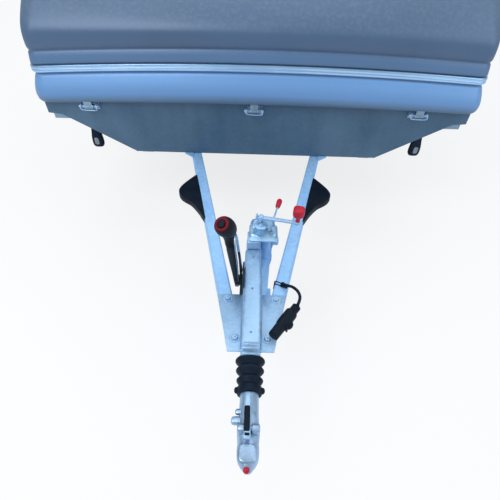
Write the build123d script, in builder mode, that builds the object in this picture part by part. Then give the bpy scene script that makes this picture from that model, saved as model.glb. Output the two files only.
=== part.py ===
"""Covered car hauler trailer: V drawbar with overrun coupling, tandem axles, hinged hood.

Millimetres. The coupling points along -Y, the tail along +Y, +Z is up.
Origin: middle of the bounding box in plan, on the floor.
"""
import os
from math import atan, cos, degrees, pi, radians, sin, sqrt

from build123d import *

os.makedirs("parts", exist_ok=True)

# Overall lengths
nose_to_skirt = 1550.0        # coupling nose to front skirt plate
bed_length = 4500.0           # front skirt plate to rear beam
tail_overhang = 45.0          # hood tail behind the rear beam
total_length = nose_to_skirt + bed_length + tail_overhang
nose_y = -total_length / 2
skirt_y = nose_y + nose_to_skirt
bed_rear_y = skirt_y + bed_length
tail_y = bed_rear_y + tail_overhang

# Shared clearances
seat_gap = 0.3                # between touching curved faces of two bodies
moving_gap = 6.0              # between moving pieces
overrun = 5.0                 # cuts run past their faces by this

# Half the bed's width, which the track, hood and front plate follow
side_half_width = 1075.0

# Wheels and axles
tyre_radius = 290.0
tyre_width = 175.0
tyre_shoulder = 22.0
rim_radius = 178.0
rim_width = 140.0
rim_wall = 7.0
dish_offset = 18.0
hub_radius = 52.0
hub_length = 96.0
hub_cap_radius = 30.0
hub_cap_length = 26.0
stub_radius = 17.0
wheel_centre_inset = 205.0     # tyre middle inside the bed's side
wheel_centre_x = side_half_width - wheel_centre_inset
axle_spacing = 700.0
axle_middle = 2560.0          # skirt plate to the middle between the axles
axle_tube_side = 80.0
axle_tube_z = 408.0
arm_trail = 150.0
arm_width = 34.0
arm_height = 62.0

# Drawbar
arm_section_width = 50.0
arm_section_height = 90.0
arm_wall = 4.0
arm_top_z = 500.0
arm_start = 400.0             # nose to the front cut of the arms
arm_half_gap_start = 58.0     # centre line to arm centre there
arm_spread = 0.2325           # sideways run for each unit of length
arm_end = 2750.0

# Overrun housing
draw_axis_z = 460.0
draw_tube_radius = 25.0
draw_travel = 70.0
housing_start = 351.0
housing_end = 760.0
housing_half_width = 30.0
housing_bottom_z = 412.0
housing_block_half_width = 72.0
housing_block_length = 42.0
flange_thickness = 6.0
flange_start = 336.0
flange_end = 556.0
flange_front_half_width = 75.0
flange_rear_half_width = 122.0
flange_notch_radius = 21.0
ridge_front_half_width = 26.0
ridge_rear_half_width = 30.0
ridge_top_z = 562.0
ridge_start = 318.0
ridge_round = 13.0
flange_front_bolt_x = 53.0
flange_front_bolt_back = 47.0
flange_rear_bolt_x = 87.0
flange_rear_bolt_ahead = 12.0
flange_bolt_radius = 10.0
flange_bolt_height = 9.0

# Coupling head
head_length = 214.0
head_half_width = 31.0
head_bottom_z = 398.0
head_top_z = 486.0
head_body_length = 132.0
ball_radius = 25.3
ball_centre_z = 430.0
ball_from_nose = 48.0
head_round = 12.0
collar_radius = 34.0
collar_length = 14.0
collar_bolt_radius = 10.0
ear_radius = 13.0
ear_pivot_from_nose = 88.0
ear_pivot_z = 498.0
ear_pin_radius = 4.0
handle_nose = 9.0
handle_bottom_z = 490.0
ear_width = 9.0
handle_half_width = 10.0
handle_length = 118.0
handle_height = 17.0
handle_wall = 2.5
button_radius = 9.0
button_height = 9.0

# Bellows
bellows_length = 122.0
bellows_outer_radius = 46.0
bellows_valley_radius = 33.0
bellows_count = 3
bellows_wall = 2.5

# Handbrake
brake_pivot_x = -47.0
brake_pivot_from_nose = 600.0
brake_pivot_z = 545.0
brake_bracket_half_length = 34.0
brake_bracket_thickness = 6.0
brake_foot_reach = 62.0
brake_lever_length = 292.0
brake_lever_lean = 5.0
brake_lever_splay = 6.0
brake_lever_thickness = 12.0
brake_lever_depth = 26.0
brake_boss_radius = 20.0
brake_pin_radius = 6.0
brake_grip_radius = 26.0
brake_grip_length = 92.0
brake_grip_tilt = 46.0
brake_button_radius = 19.0
brake_button_length = 10.0

# Jockey wheel
jockey_x = 52.0
jockey_from_nose = 806.0
jockey_outer_radius = 24.0
jockey_outer_wall = 3.0
jockey_inner_radius = 18.0
jockey_outer_bottom_z = 424.0
jockey_head_bottom_z = 600.0
jockey_head_top_z = 650.0
jockey_head_radius = 34.0
jockey_inner_bottom_z = 217.0
jockey_inner_top_z = 470.0
jockey_crown_thickness = 9.0
jockey_fork_thickness = 5.0
jockey_axle_radius = 8.0
jockey_clamp_radius = 33.0
jockey_clamp_low_z = 440.0
jockey_cross_thickness = 8.0
jockey_wheel_radius = 100.0
jockey_wheel_width = 50.0
jockey_trail = 46.0
jockey_travel = 170.0
crank_z = 676.0
crank_length = 147.0
crank_bar = 12.0
crank_spindle_x_offset = -26.0
crank_spindle_radius = 10.0
crank_knob_radius = 21.0
crank_knob_height = 44.0
clamp_plate_half_width = 54.0
clamp_plate_thickness = 8.0
clamp_plate_x_offset = -15.0
clamp_lever_radius = 4.0
clamp_lever_grip_radius = 8.0
clamp_lever_length = 118.0
clamp_lever_grip_length = 46.0
clamp_lever_turn = 18.0
clamp_lever_z = 632.0

# Bed
bed_corner_cut = 110.0
side_rail_top_z = 792.0
side_rail_flange = 40.0
sheet = 4.0
rail_x = 600.0
rail_width = 60.0
rail_bottom_z = arm_top_z
rail_top_z = 668.0
cross_height = 40.0
cross_width = 60.0
cross_count = 8
side_rail_low_z = rail_top_z + cross_height
deck_bottom_z = side_rail_low_z
deck_thickness = 14.0
tread_inner_x = 500.0
tread_rib_height = 6.0
tread_rib_count = 5

# Front skirt plate
skirt_bottom_z = 506.0
skirt_corner_inset = 411.0     # cut corner, inside the bed's side
skirt_corner_x = side_half_width - skirt_corner_inset
skirt_corner_slope = 0.576
skirt_side_z = 700.0

# Hood
hood_side_overhang = 43.0
hood_half_width = side_half_width + hood_side_overhang
hood_front = 60.0             # hood nose ahead of the skirt plate
hood_wall = 7.0
hood_lip_z = 800.0
hood_groove_z = 942.0
hood_band_low_z = 952.0
hood_band_high_z = 980.0
hood_crease_z = 1130.0
hood_front_top_z = 1960.0
hood_depth_below = 140.0
hood_skirt_top_z = 970.0
hood_ledge = 9.0
hood_ledge_z = 1040.0
hood_slope_run = 900.0
hood_tail_run = 260.0
hood_tail_shoulder_z = 1880.0
hood_roof_z = 2200.0
hood_tail_roof_z = 2120.0
hood_corner_radius = 88.0
hood_front_sag_radius = 26000.0
hood_arch_sag = 42.0          # drop of the band at the side walls
hood_lip_sag = 30.0
hood_bulge = 28.0
hood_bulge_round = 75.0
hood_band_proud = 7.0
hood_roof_peak_share = 0.42
hood_edge_round = 60.0

# Hinges
hinge_inset = 245.0
hinge_x = side_half_width - hinge_inset
hinge_axis_back = -27.0       # from the skirt plate, forwards is negative
hinge_axis_z = 762.0
hinge_pin_radius = 7.0
hinge_ear_width = 8.0
hinge_half_width = 42.0
hinge_leaf_half_width = 26.0
hinge_ear_radius = 15.0
hinge_leaf_radius = 13.0


# Gas struts, seen from the hinge
strut_inset = 63.0
strut_x = side_half_width - strut_inset
strut_foot_back = 200.0
strut_foot_z = 838.0
strut_eye_back = 800.0
strut_eye_z = 1050.0
strut_tube_radius = 13.0
strut_rod_radius = 7.0
strut_tube_length = 400.0
strut_rod_length = 350.0
strut_eye_radius = 14.0
strut_eye_width = 16.0
strut_pin_radius = 5.0

# Chocks, lamps, stands and ramps
chock_start = 1030.0
chock_length = 330.0
chock_peak_share = 0.57
chock_reach = 100.0
chock_height = 58.0
chock_hollow = 16.0
lamp_inset = 210.0
lamp_x = side_half_width - lamp_inset
lamp_width = 55.0
lamp_depth = 42.0
lamp_bottom_z = 518.0
lamp_top_z = 664.0
lamp_lens_radius = 22.0
lamp_lens_depth = 12.0
lamp_lens_z = 560.0
tail_bar_height = 96.0
tail_bar_depth = 18.0
tail_lamp_inset = 225.0
tail_lamp_x = side_half_width - tail_lamp_inset
tail_lamp_width = 220.0
tail_lamp_height = 84.0
tail_lamp_depth = 20.0
plate_width = 520.0
plate_height = 86.0
plate_thickness = 3.0
guard_clearance = 42.0
guard_width = 210.0
guard_thickness = 4.0
guard_bottom_z = 400.0
stay_width = 34.0
stay_height = 22.0
stand_x = 700.0
stand_pivot_z = 630.0
stand_from_rear = 150.0
stand_length = 430.0
stand_side = 40.0
stand_foot = 90.0
stand_foot_thickness = 8.0
stand_ear_thickness = 6.0
ramp_x = 285.0
ramp_width = 330.0
ramp_length = 1950.0
ramp_height = 52.0
ramp_wall = 5.0
ramp_top_z = 600.0
ramp_rung_count = 9
ramp_rung_width = 40.0
runner_thickness = 5.0
ramp_travel = 1750.0
bolt_count = 5

# Connector lead
lead_radius = 5.5
plug_radius = 22.0
plug_tail_radius = 11.0
plug_tail_length = 32.0
plug_body_length = 118.0


def from_nose(length):
    """Y of a place a given length behind the coupling nose."""
    return nose_y + length


def arm_centre_x(length):
    """Centre of the drawbar arm a given length behind the coupling nose."""
    return arm_half_gap_start + (length - arm_start) * arm_spread


def save(part, name):
    """Label one finished piece and write it."""
    part.label = name
    export_step(part, "parts/" + name + ".step")


axle_ys = [skirt_y + axle_middle - axle_spacing / 2, skirt_y + axle_middle + axle_spacing / 2]
wheel_z = tyre_radius
arm_angle = degrees(atan(arm_spread))

# Drawbar arms: two hollow box sections in a V, bolted under the chassis rails
arm_run = arm_end - arm_start
arm_true_length = arm_run * sqrt(1 + arm_spread ** 2)
with BuildPart() as drawbar_arms:
    for side in (-1, 1):
        arm_plane = Plane(
            origin=(side * arm_half_gap_start, from_nose(arm_start), arm_top_z - arm_section_height / 2),
            x_dir=(cos(radians(arm_angle)), -side * sin(radians(arm_angle)), 0),
            z_dir=(side * sin(radians(arm_angle)), cos(radians(arm_angle)), 0),
        )
        with BuildSketch(arm_plane):
            RectangleRounded(arm_section_width, arm_section_height, 2 * arm_wall)
            RectangleRounded(
                arm_section_width - 2 * arm_wall, arm_section_height - 2 * arm_wall, arm_wall,
                mode=Mode.SUBTRACT,
            )
        extrude(amount=arm_true_length)
save(drawbar_arms.part, "drawbar_arms")

# Overrun housing: block across the arm fronts, bored body between the arms, ridge on top
with BuildPart() as overrun_housing:
    with BuildSketch(Plane.XY.offset(housing_bottom_z)):
        with BuildLine():
            Polyline(
                (-housing_block_half_width, from_nose(housing_start)),
                (housing_block_half_width, from_nose(housing_start)),
                (housing_block_half_width, from_nose(housing_start + housing_block_length)),
                (housing_half_width, from_nose(housing_start + housing_block_length)),
                (housing_half_width, from_nose(housing_end)),
                (-housing_half_width, from_nose(housing_end)),
                (-housing_half_width, from_nose(housing_start + housing_block_length)),
                (-housing_block_half_width, from_nose(housing_start + housing_block_length)),
                close=True,
            )
        make_face()
    extrude(amount=arm_top_z - housing_bottom_z)
    with BuildSketch(Plane.XZ.offset(-from_nose(housing_start - overrun))):
        with Locations((0, draw_axis_z)):
            Circle(draw_tube_radius + seat_gap)
    extrude(amount=-(housing_end - housing_start + 2 * overrun), mode=Mode.SUBTRACT)
save(overrun_housing.part, "overrun_housing")

# Flange plate with notched rear edge, ridge cover and bolt heads
bolt_places = [  # half spacing, length behind the nose
    (flange_front_bolt_x, flange_start + flange_front_bolt_back),
    (flange_rear_bolt_x, flange_end - flange_rear_bolt_ahead),
]
with BuildPart() as overrun_cover:
    with BuildSketch(Plane.XY.offset(arm_top_z)):
        with BuildLine():
            Polyline(
                (-flange_front_half_width, from_nose(flange_start)),
                (flange_front_half_width, from_nose(flange_start)),
                (flange_rear_half_width, from_nose(flange_end)),
                (-flange_rear_half_width, from_nose(flange_end)),
                close=True,
            )
        make_face()
        with Locations(
            (-ridge_rear_half_width - flange_notch_radius, from_nose(flange_end)),
            (ridge_rear_half_width + flange_notch_radius, from_nose(flange_end)),
        ):
            Circle(flange_notch_radius, mode=Mode.SUBTRACT)
    extrude(amount=flange_thickness)
    with Locations(*[
        (side * x, from_nose(along), arm_top_z + flange_thickness)
        for x, along in bolt_places for side in (-1, 1)
    ]):
        Cylinder(
            flange_bolt_radius, flange_bolt_height,
            align=(Align.CENTER, Align.CENTER, Align.MIN),
        )
    with BuildSketch(Plane.XY.offset(arm_top_z + flange_thickness)):
        with BuildLine():
            Polyline(
                (-ridge_front_half_width, from_nose(flange_start)),
                (ridge_front_half_width, from_nose(flange_start)),
                (ridge_rear_half_width, from_nose(housing_end)),
                (-ridge_rear_half_width, from_nose(housing_end)),
                close=True,
            )
        make_face()
    extrude(amount=ridge_top_z - arm_top_z - flange_thickness)
    ridge_long_edges = overrun_cover.faces().sort_by(Axis.Z)[-1].edges().sort_by(Axis.X)
    fillet([ridge_long_edges[0], ridge_long_edges[-1]], ridge_round)
save(overrun_cover.part, "overrun_cover")

# Sliding draw tube with its brake stop collar
draw_tube_front = head_length - collar_length - overrun
with BuildPart() as draw_tube:
    with BuildSketch(Plane.XZ.offset(-from_nose(draw_tube_front))):
        with Locations((0, draw_axis_z)):
            Circle(draw_tube_radius)
            Circle(draw_tube_radius - arm_wall, mode=Mode.SUBTRACT)
    extrude(amount=-(housing_end - draw_travel - moving_gap - draw_tube_front))
save(draw_tube.part, "draw_tube")

# Coupling head: nose with ball socket, neck and rear collar
head_rear = from_nose(head_length)
ball_y = from_nose(ball_from_nose)
with BuildPart() as coupling_head:
    with BuildSketch(Plane.XY.offset(head_bottom_z)):
        with BuildLine():
            Line(
                (head_half_width, from_nose(head_half_width)),
                (head_half_width, from_nose(head_body_length)),
            )
            Line(
                (head_half_width, from_nose(head_body_length)),
                (-head_half_width, from_nose(head_body_length)),
            )
            Line(
                (-head_half_width, from_nose(head_body_length)),
                (-head_half_width, from_nose(head_half_width)),
            )
            ThreePointArc(
                (-head_half_width, from_nose(head_half_width)),
                (0, nose_y),
                (head_half_width, from_nose(head_half_width)),
            )
        make_face()
    extrude(amount=head_top_z - head_bottom_z)
    fillet(coupling_head.faces().sort_by(Axis.Z)[-1].edges(), head_round)
    with BuildSketch(Plane.XZ.offset(-from_nose(head_body_length - head_round))):
        with Locations((0, draw_axis_z)):
            Circle(draw_tube_radius + arm_wall)
    extrude(amount=-(head_length - head_body_length + head_round))
    with BuildSketch(Plane.XZ.offset(-from_nose(head_length - collar_length))):
        with Locations((0, draw_axis_z)):
            Circle(collar_radius)
    extrude(amount=-collar_length)
    for side in (-1, 1):
        with BuildSketch(Plane.YZ.offset(side * head_half_width)):
            with Locations((from_nose(ear_pivot_from_nose), ear_pivot_z)):
                Circle(ear_radius)
                Rectangle(
                    2 * ear_radius, ear_pivot_z - head_top_z + head_round,
                    align=(Align.CENTER, Align.MAX),
                )
        extrude(amount=-side * ear_width)
    with BuildSketch(Plane.YZ.offset(-head_half_width)):
        with Locations((from_nose(ear_pivot_from_nose), ear_pivot_z)):
            Circle(ear_pin_radius)
    extrude(amount=2 * head_half_width)
    with BuildSketch(Plane.XZ.offset(-from_nose(draw_tube_front))):
        with Locations((0, draw_axis_z)):
            Circle(draw_tube_radius)
    extrude(amount=-(head_length - draw_tube_front + overrun), mode=Mode.SUBTRACT)
    with Locations((0, ball_y, head_bottom_z - overrun)):
        Cylinder(
            ball_radius, ball_centre_z - head_bottom_z + overrun,
            align=(Align.CENTER, Align.CENTER, Align.MIN), mode=Mode.SUBTRACT,
        )
    with Locations((0, ball_y, ball_centre_z)):
        Sphere(ball_radius, mode=Mode.SUBTRACT)
save(coupling_head.part, "coupling_head")

# Wear indicator button on the nose
button_from_nose = 2 * button_radius
with BuildPart() as coupling_button:
    with Locations((0, from_nose(button_from_nose), head_top_z)):
        Cylinder(
            button_radius, button_height,
            align=(Align.CENTER, Align.CENTER, Align.MIN),
        )
save(coupling_button.part, "coupling_button")

# Coupling handle: a folded channel that lifts about the pin between the ears
handle_front = ear_pivot_from_nose - handle_nose
with BuildPart() as coupling_handle:
    with BuildSketch(Plane.XY.offset(handle_bottom_z)):
        with Locations((0, from_nose(handle_front + handle_length / 2))):
            SlotOverall(handle_length, 2 * handle_half_width, rotation=90)
    extrude(amount=handle_height)
    with BuildSketch(Plane.XY.offset(ear_pivot_z + ear_pin_radius + handle_wall)):
        with Locations((0, from_nose(handle_front + handle_length / 2))):
            SlotOverall(
                handle_length - 2 * handle_wall, 2 * (handle_half_width - handle_wall), rotation=90
            )
    extrude(amount=handle_height, mode=Mode.SUBTRACT)
    with BuildSketch(Plane.YZ.offset(-head_half_width)):
        with Locations((from_nose(ear_pivot_from_nose), ear_pivot_z)):
            Circle(ear_pin_radius + seat_gap)
    extrude(amount=2 * head_half_width, mode=Mode.SUBTRACT)
save(coupling_handle.part, "coupling_handle")

# Rubber bellows between the head collar and the housing block
bellows_start = head_length
bellows_pitch = bellows_length / bellows_count
with BuildPart() as bellows:
    for index in range(bellows_count):
        with BuildSketch(Plane.YZ):
            with BuildLine():
                fold_start = from_nose(bellows_start + index * bellows_pitch)
                Polyline(
                    (fold_start, draw_axis_z + bellows_valley_radius - bellows_wall),
                    (fold_start, draw_axis_z + bellows_valley_radius),
                    (fold_start + bellows_pitch / 3, draw_axis_z + bellows_outer_radius),
                    (fold_start + 2 * bellows_pitch / 3, draw_axis_z + bellows_outer_radius),
                    (fold_start + bellows_pitch, draw_axis_z + bellows_valley_radius),
                    (fold_start + bellows_pitch, draw_axis_z + bellows_valley_radius - bellows_wall),
                    close=True,
                )
            make_face()
        revolve(axis=Axis((0, 0, draw_axis_z), (0, 1, 0)))
save(bellows.part, "bellows")

# Handbrake: bracket standing on the left arm, lever with a bent grip and release button
brake_y = from_nose(brake_pivot_from_nose)
brake_plate_x = brake_pivot_x - brake_lever_thickness / 2 - moving_gap - brake_bracket_thickness
brake_foot_top_z = arm_top_z + brake_bracket_thickness
with BuildPart() as brake_bracket:
    with BuildSketch(Plane.YZ.offset(brake_plate_x)):
        with BuildLine():
            Polyline(
                (brake_y - brake_bracket_half_length, arm_top_z),
                (brake_y + brake_bracket_half_length, arm_top_z),
                (brake_y + brake_bracket_half_length / 2, brake_pivot_z + brake_boss_radius),
                (brake_y - brake_bracket_half_length / 2, brake_pivot_z + brake_boss_radius),
                close=True,
            )
        make_face()
    extrude(amount=brake_bracket_thickness)
    with Locations((brake_plate_x + brake_bracket_thickness, brake_y, arm_top_z)):
        Box(
            brake_foot_reach, 2 * brake_bracket_half_length, brake_bracket_thickness,
            align=(Align.MAX, Align.CENTER, Align.MIN),
        )
    with BuildSketch(Plane.YZ.offset(brake_plate_x)):
        with Locations((brake_y, brake_pivot_z)):
            Circle(brake_pin_radius)
    extrude(amount=brake_bracket_thickness + moving_gap + brake_lever_thickness)
save(brake_bracket.part, "brake_bracket")

lever_direction = Vector(
    -sin(radians(brake_lever_splay)), -sin(radians(brake_lever_lean)), 1
).normalized()
lever_base = Vector(brake_pivot_x, brake_y, brake_pivot_z)
lever_plane = Plane(origin=lever_base, x_dir=(1, 0, 0), z_dir=lever_direction)
grip_direction = Vector(
    -sin(radians(brake_lever_splay)), -sin(radians(brake_grip_tilt)), cos(radians(brake_grip_tilt))
).normalized()
grip_base = lever_base + lever_direction * brake_lever_length
grip_plane = Plane(origin=grip_base, x_dir=(1, 0, 0), z_dir=grip_direction)
with BuildPart() as brake_lever:
    with BuildSketch(Plane.YZ.offset(brake_pivot_x - brake_lever_thickness / 2)):
        with Locations((brake_y, brake_pivot_z)):
            Circle(brake_boss_radius)
    extrude(amount=brake_lever_thickness)
    with BuildSketch(lever_plane):
        Rectangle(brake_lever_thickness, brake_lever_depth)
    extrude(amount=brake_lever_length)
    with BuildSketch(Plane.YZ.offset(brake_pivot_x - brake_lever_thickness)):
        with Locations((brake_y, brake_pivot_z)):
            Circle(brake_pin_radius + seat_gap)
    extrude(amount=2 * brake_lever_thickness, mode=Mode.SUBTRACT)
save(brake_lever.part, "brake_lever")

grip_profile_shares = [  # share of the grip's length, share of its radius
    (0.0, 0.62), (0.2, 1.0), (0.82, 1.0), (1.0, 0.86),
]
with BuildPart() as brake_grip:
    for (low, low_radius), (high, high_radius) in zip(grip_profile_shares, grip_profile_shares[1:]):
        with BuildSketch(grip_plane.offset(low * brake_grip_length)):
            Circle(low_radius * brake_grip_radius)
        with BuildSketch(grip_plane.offset(high * brake_grip_length)):
            Circle(high_radius * brake_grip_radius)
        loft()
    add(brake_lever.part, mode=Mode.SUBTRACT)
save(brake_grip.part, "brake_grip")

with BuildPart() as brake_button:
    with BuildSketch(grip_plane.offset(brake_grip_length)):
        Circle(brake_button_radius)
    extrude(amount=brake_button_length)
save(brake_button.part, "brake_button")

# Jockey wheel: clamp and outer tube on the drawbar, sliding leg, swivelling fork, wheel, crank
jockey_y = from_nose(jockey_from_nose)
cross_plate_x = arm_centre_x(housing_end) - arm_section_width / 2 / cos(radians(arm_angle))
with BuildPart() as jockey_outer_tube:
    with Locations((0, from_nose(housing_end), housing_bottom_z)):
        Box(
            2 * cross_plate_x - 2 * seat_gap, jockey_cross_thickness, arm_top_z - housing_bottom_z,
            align=(Align.CENTER, Align.MIN, Align.MIN),
        )
    with BuildSketch(Plane.XY.offset(jockey_clamp_low_z)):
        with Locations((jockey_x, jockey_y)):
            Circle(jockey_clamp_radius)
        with Locations((jockey_x, from_nose(housing_end))):
            Rectangle(
                2 * jockey_clamp_radius, jockey_from_nose - housing_end,
                align=(Align.CENTER, Align.MIN),
            )
        with Locations((jockey_x, jockey_y)):
            Circle(jockey_outer_radius, mode=Mode.SUBTRACT)
    extrude(amount=arm_top_z - jockey_clamp_low_z)
    with BuildSketch(Plane.XY.offset(jockey_outer_bottom_z)):
        with Locations((jockey_x, jockey_y)):
            Circle(jockey_outer_radius)
    extrude(amount=jockey_head_top_z - jockey_outer_bottom_z)
    with BuildSketch(Plane.XY.offset(jockey_outer_bottom_z)):
        with Locations((jockey_x, jockey_y)):
            Circle(jockey_outer_radius - jockey_outer_wall)
    extrude(amount=jockey_head_top_z - jockey_outer_bottom_z, mode=Mode.SUBTRACT)
save(jockey_outer_tube.part, "jockey_outer_tube")

spindle_x = jockey_x + crank_spindle_x_offset
clamp_lever_plane = Plane(
    origin=(jockey_x, jockey_y, clamp_lever_z),
    x_dir=(0, 0, 1),
    z_dir=(sin(radians(clamp_lever_turn)), cos(radians(clamp_lever_turn)), 0),
)
with BuildPart() as jockey_head:
    with BuildSketch(Plane.XY.offset(jockey_head_bottom_z)):
        with Locations((jockey_x, jockey_y)):
            Circle(jockey_head_radius)
    extrude(amount=jockey_head_top_z - jockey_head_bottom_z)
    with BuildSketch(Plane.XY.offset(jockey_head_bottom_z)):
        with Locations((jockey_x + clamp_plate_x_offset, jockey_y)):
            RectangleRounded(
                2 * clamp_plate_half_width, 2 * jockey_head_radius, clamp_plate_thickness
            )
    extrude(amount=clamp_plate_thickness)
    with BuildSketch(Plane.XY.offset(jockey_head_bottom_z)):
        with Locations((jockey_x, jockey_y)):
            Circle(jockey_outer_radius)
    extrude(amount=jockey_head_top_z - jockey_head_bottom_z, mode=Mode.SUBTRACT)
    with BuildSketch(Plane.XY.offset(jockey_head_top_z)):
        with Locations((jockey_x, jockey_y)):
            Circle(jockey_head_radius)
        with Locations((spindle_x, jockey_y)):
            Circle(2 * crank_spindle_radius)
    extrude(amount=clamp_plate_thickness)
    with BuildSketch(clamp_lever_plane.offset(jockey_outer_radius)):
        Circle(clamp_lever_radius)
    extrude(amount=clamp_lever_length - jockey_outer_radius)
save(jockey_head.part, "jockey_head")
with BuildPart() as clamp_lever_grip:
    with BuildSketch(clamp_lever_plane.offset(clamp_lever_length)):
        Circle(clamp_lever_grip_radius)
    extrude(amount=clamp_lever_grip_length)
save(clamp_lever_grip.part, "clamp_lever_grip")

with BuildPart() as jockey_inner_tube:
    with BuildSketch(Plane.XY.offset(jockey_inner_bottom_z)):
        with Locations((jockey_x, jockey_y)):
            Circle(jockey_outer_radius - jockey_outer_wall - seat_gap)
            Circle(jockey_inner_radius - jockey_outer_wall, mode=Mode.SUBTRACT)
    extrude(amount=jockey_inner_top_z - jockey_inner_bottom_z)
save(jockey_inner_tube.part, "jockey_inner_tube")

jockey_axle_y = jockey_y + jockey_trail
fork_half_width = jockey_wheel_width / 2 + moving_gap
crown_top_z = jockey_inner_bottom_z - seat_gap
with BuildPart() as jockey_fork:
    with BuildSketch(Plane.YZ.offset(jockey_x - fork_half_width - jockey_fork_thickness)):
        with BuildLine():
            Polyline(
                (jockey_y - jockey_outer_radius, crown_top_z),
                (jockey_y + jockey_outer_radius, crown_top_z),
                (jockey_axle_y + 2 * jockey_axle_radius, jockey_wheel_radius - 2 * jockey_axle_radius),
                (jockey_axle_y - 2 * jockey_axle_radius, jockey_wheel_radius - 2 * jockey_axle_radius),
                close=True,
            )
        make_face()
    extrude(amount=2 * (fork_half_width + jockey_fork_thickness))
    with Locations((jockey_x, jockey_axle_y, 0)):
        Box(
            2 * fork_half_width, 4 * jockey_wheel_radius, 2 * (crown_top_z - jockey_crown_thickness),
            mode=Mode.SUBTRACT,
        )
    with BuildSketch(Plane.YZ.offset(jockey_x - fork_half_width)):
        with Locations((jockey_axle_y, jockey_wheel_radius)):
            Circle(jockey_axle_radius)
    extrude(amount=2 * fork_half_width)
save(jockey_fork.part, "jockey_fork")

with BuildPart() as jockey_wheel:
    with BuildSketch(Plane.YZ.offset(jockey_x - jockey_wheel_width / 2)):
        with Locations((jockey_axle_y, jockey_wheel_radius)):
            Circle(jockey_wheel_radius)
            Circle(jockey_axle_radius + seat_gap, mode=Mode.SUBTRACT)
    extrude(amount=jockey_wheel_width)
save(jockey_wheel.part, "jockey_wheel")

# Crank with its standing knob, turning about the spindle beside the leg
crank_low_z = jockey_head_top_z + clamp_plate_thickness + seat_gap
knob_x = spindle_x + crank_length
with BuildPart() as jockey_crank:
    with BuildSketch(Plane.XY.offset(crank_low_z)):
        with Locations((spindle_x, jockey_y)):
            Circle(crank_spindle_radius)
    extrude(amount=crank_z - crank_low_z + crank_bar)
    with BuildSketch(Plane.XY.offset(crank_z)):
        with Locations((spindle_x + crank_length / 2, jockey_y)):
            SlotOverall(crank_length + 2 * crank_bar, crank_bar)
    extrude(amount=crank_bar)
save(jockey_crank.part, "jockey_crank")
knob_base_z = crank_z + crank_bar
with BuildPart() as crank_knob:
    with BuildSketch(Plane.XY.offset(knob_base_z)):
        with Locations((knob_x, jockey_y)):
            Circle(crank_bar * 0.8)
    with BuildSketch(Plane.XY.offset(knob_base_z + crank_knob_height / 2)):
        with Locations((knob_x, jockey_y)):
            Circle(crank_knob_radius)
    loft()
    with BuildSketch(Plane.XY.offset(knob_base_z + crank_knob_height / 2)):
        with Locations((knob_x, jockey_y)):
            Circle(crank_knob_radius)
    extrude(amount=crank_knob_height / 2)
    fillet(crank_knob.faces().sort_by(Axis.Z)[-1].edges(), crank_knob_radius * 0.8)
save(crank_knob.part, "crank_knob")

# Chassis rails: two hollow longitudinals on the arms, with cross members over them
cross_y_first = skirt_y + sheet + cross_width
cross_y_last = bed_rear_y - 2 * cross_width
cross_pitch = (cross_y_last - cross_y_first) / (cross_count - 1)
with BuildPart() as chassis_rails:
    for side in (-1, 1):
        with BuildSketch(Plane.XZ.offset(-(skirt_y + sheet))):
            with Locations((side * rail_x, (rail_bottom_z + rail_top_z) / 2)):
                Rectangle(rail_width, rail_top_z - rail_bottom_z)
                Rectangle(
                    rail_width - 2 * arm_wall, rail_top_z - rail_bottom_z - 2 * arm_wall,
                    mode=Mode.SUBTRACT,
                )
        extrude(amount=-(bed_length - sheet - tail_bar_depth))
save(chassis_rails.part, "chassis_rails")
with BuildPart() as cross_members:
    for index in range(cross_count):
        with Locations((0, cross_y_first + index * cross_pitch, rail_top_z)):
            Box(
                2 * (side_half_width - sheet), cross_width, cross_height,
                align=(Align.CENTER, Align.CENTER, Align.MIN),
            )
save(cross_members.part, "cross_members")

# Bed frame: a channel ring with cut corners, its rear sill cut down to the deck, strut feet
frame_length = bed_length - sheet


def frame_outline(inset):
    """Plan of the bed ring, drawn in by inset."""
    with BuildSketch() as outline:
        with Locations((0, skirt_y + sheet + inset)):
            Rectangle(
                2 * (side_half_width - inset), frame_length - 2 * inset,
                align=(Align.CENTER, Align.MIN),
            )
        chamfer(outline.vertices(), bed_corner_cut - inset / 2)
    return outline.sketch


frame_outer = frame_outline(0)
frame_web = frame_outline(sheet)
frame_inner = frame_outline(side_rail_flange)
foot_y = skirt_y + strut_foot_back
foot_x = side_half_width - side_rail_flange / 2
deck_top_z = deck_bottom_z + deck_thickness
with BuildPart() as bed_frame:
    with BuildSketch(Plane.XY.offset(side_rail_low_z)):
        add(frame_outer)
        add(frame_inner, mode=Mode.SUBTRACT)
    extrude(amount=side_rail_top_z - side_rail_low_z)
    with BuildSketch(Plane.XY.offset(side_rail_low_z + sheet)):
        add(frame_web)
    extrude(amount=side_rail_top_z - side_rail_low_z - 2 * sheet, mode=Mode.SUBTRACT)
    with Locations((0, bed_rear_y + sheet, deck_top_z)):
        Box(
            2 * (side_half_width - bed_corner_cut), 2 * side_rail_flange, side_rail_top_z,
            align=(Align.CENTER, Align.MAX, Align.MIN), mode=Mode.SUBTRACT,
        )
    for side in (-1, 1):
        with Locations((side * foot_x, foot_y, side_rail_top_z)):
            Box(
                side_rail_flange / 2, 4 * strut_eye_radius,
                strut_foot_z - side_rail_top_z + strut_eye_radius,
                align=(Align.CENTER, Align.CENTER, Align.MIN),
            )
        with BuildSketch(Plane.YZ.offset(side * foot_x)):
            with Locations((foot_y, strut_foot_z)):
                Circle(strut_pin_radius)
        extrude(amount=-side * (foot_x - strut_x + strut_eye_width))
save(bed_frame.part, "bed_frame")

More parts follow.
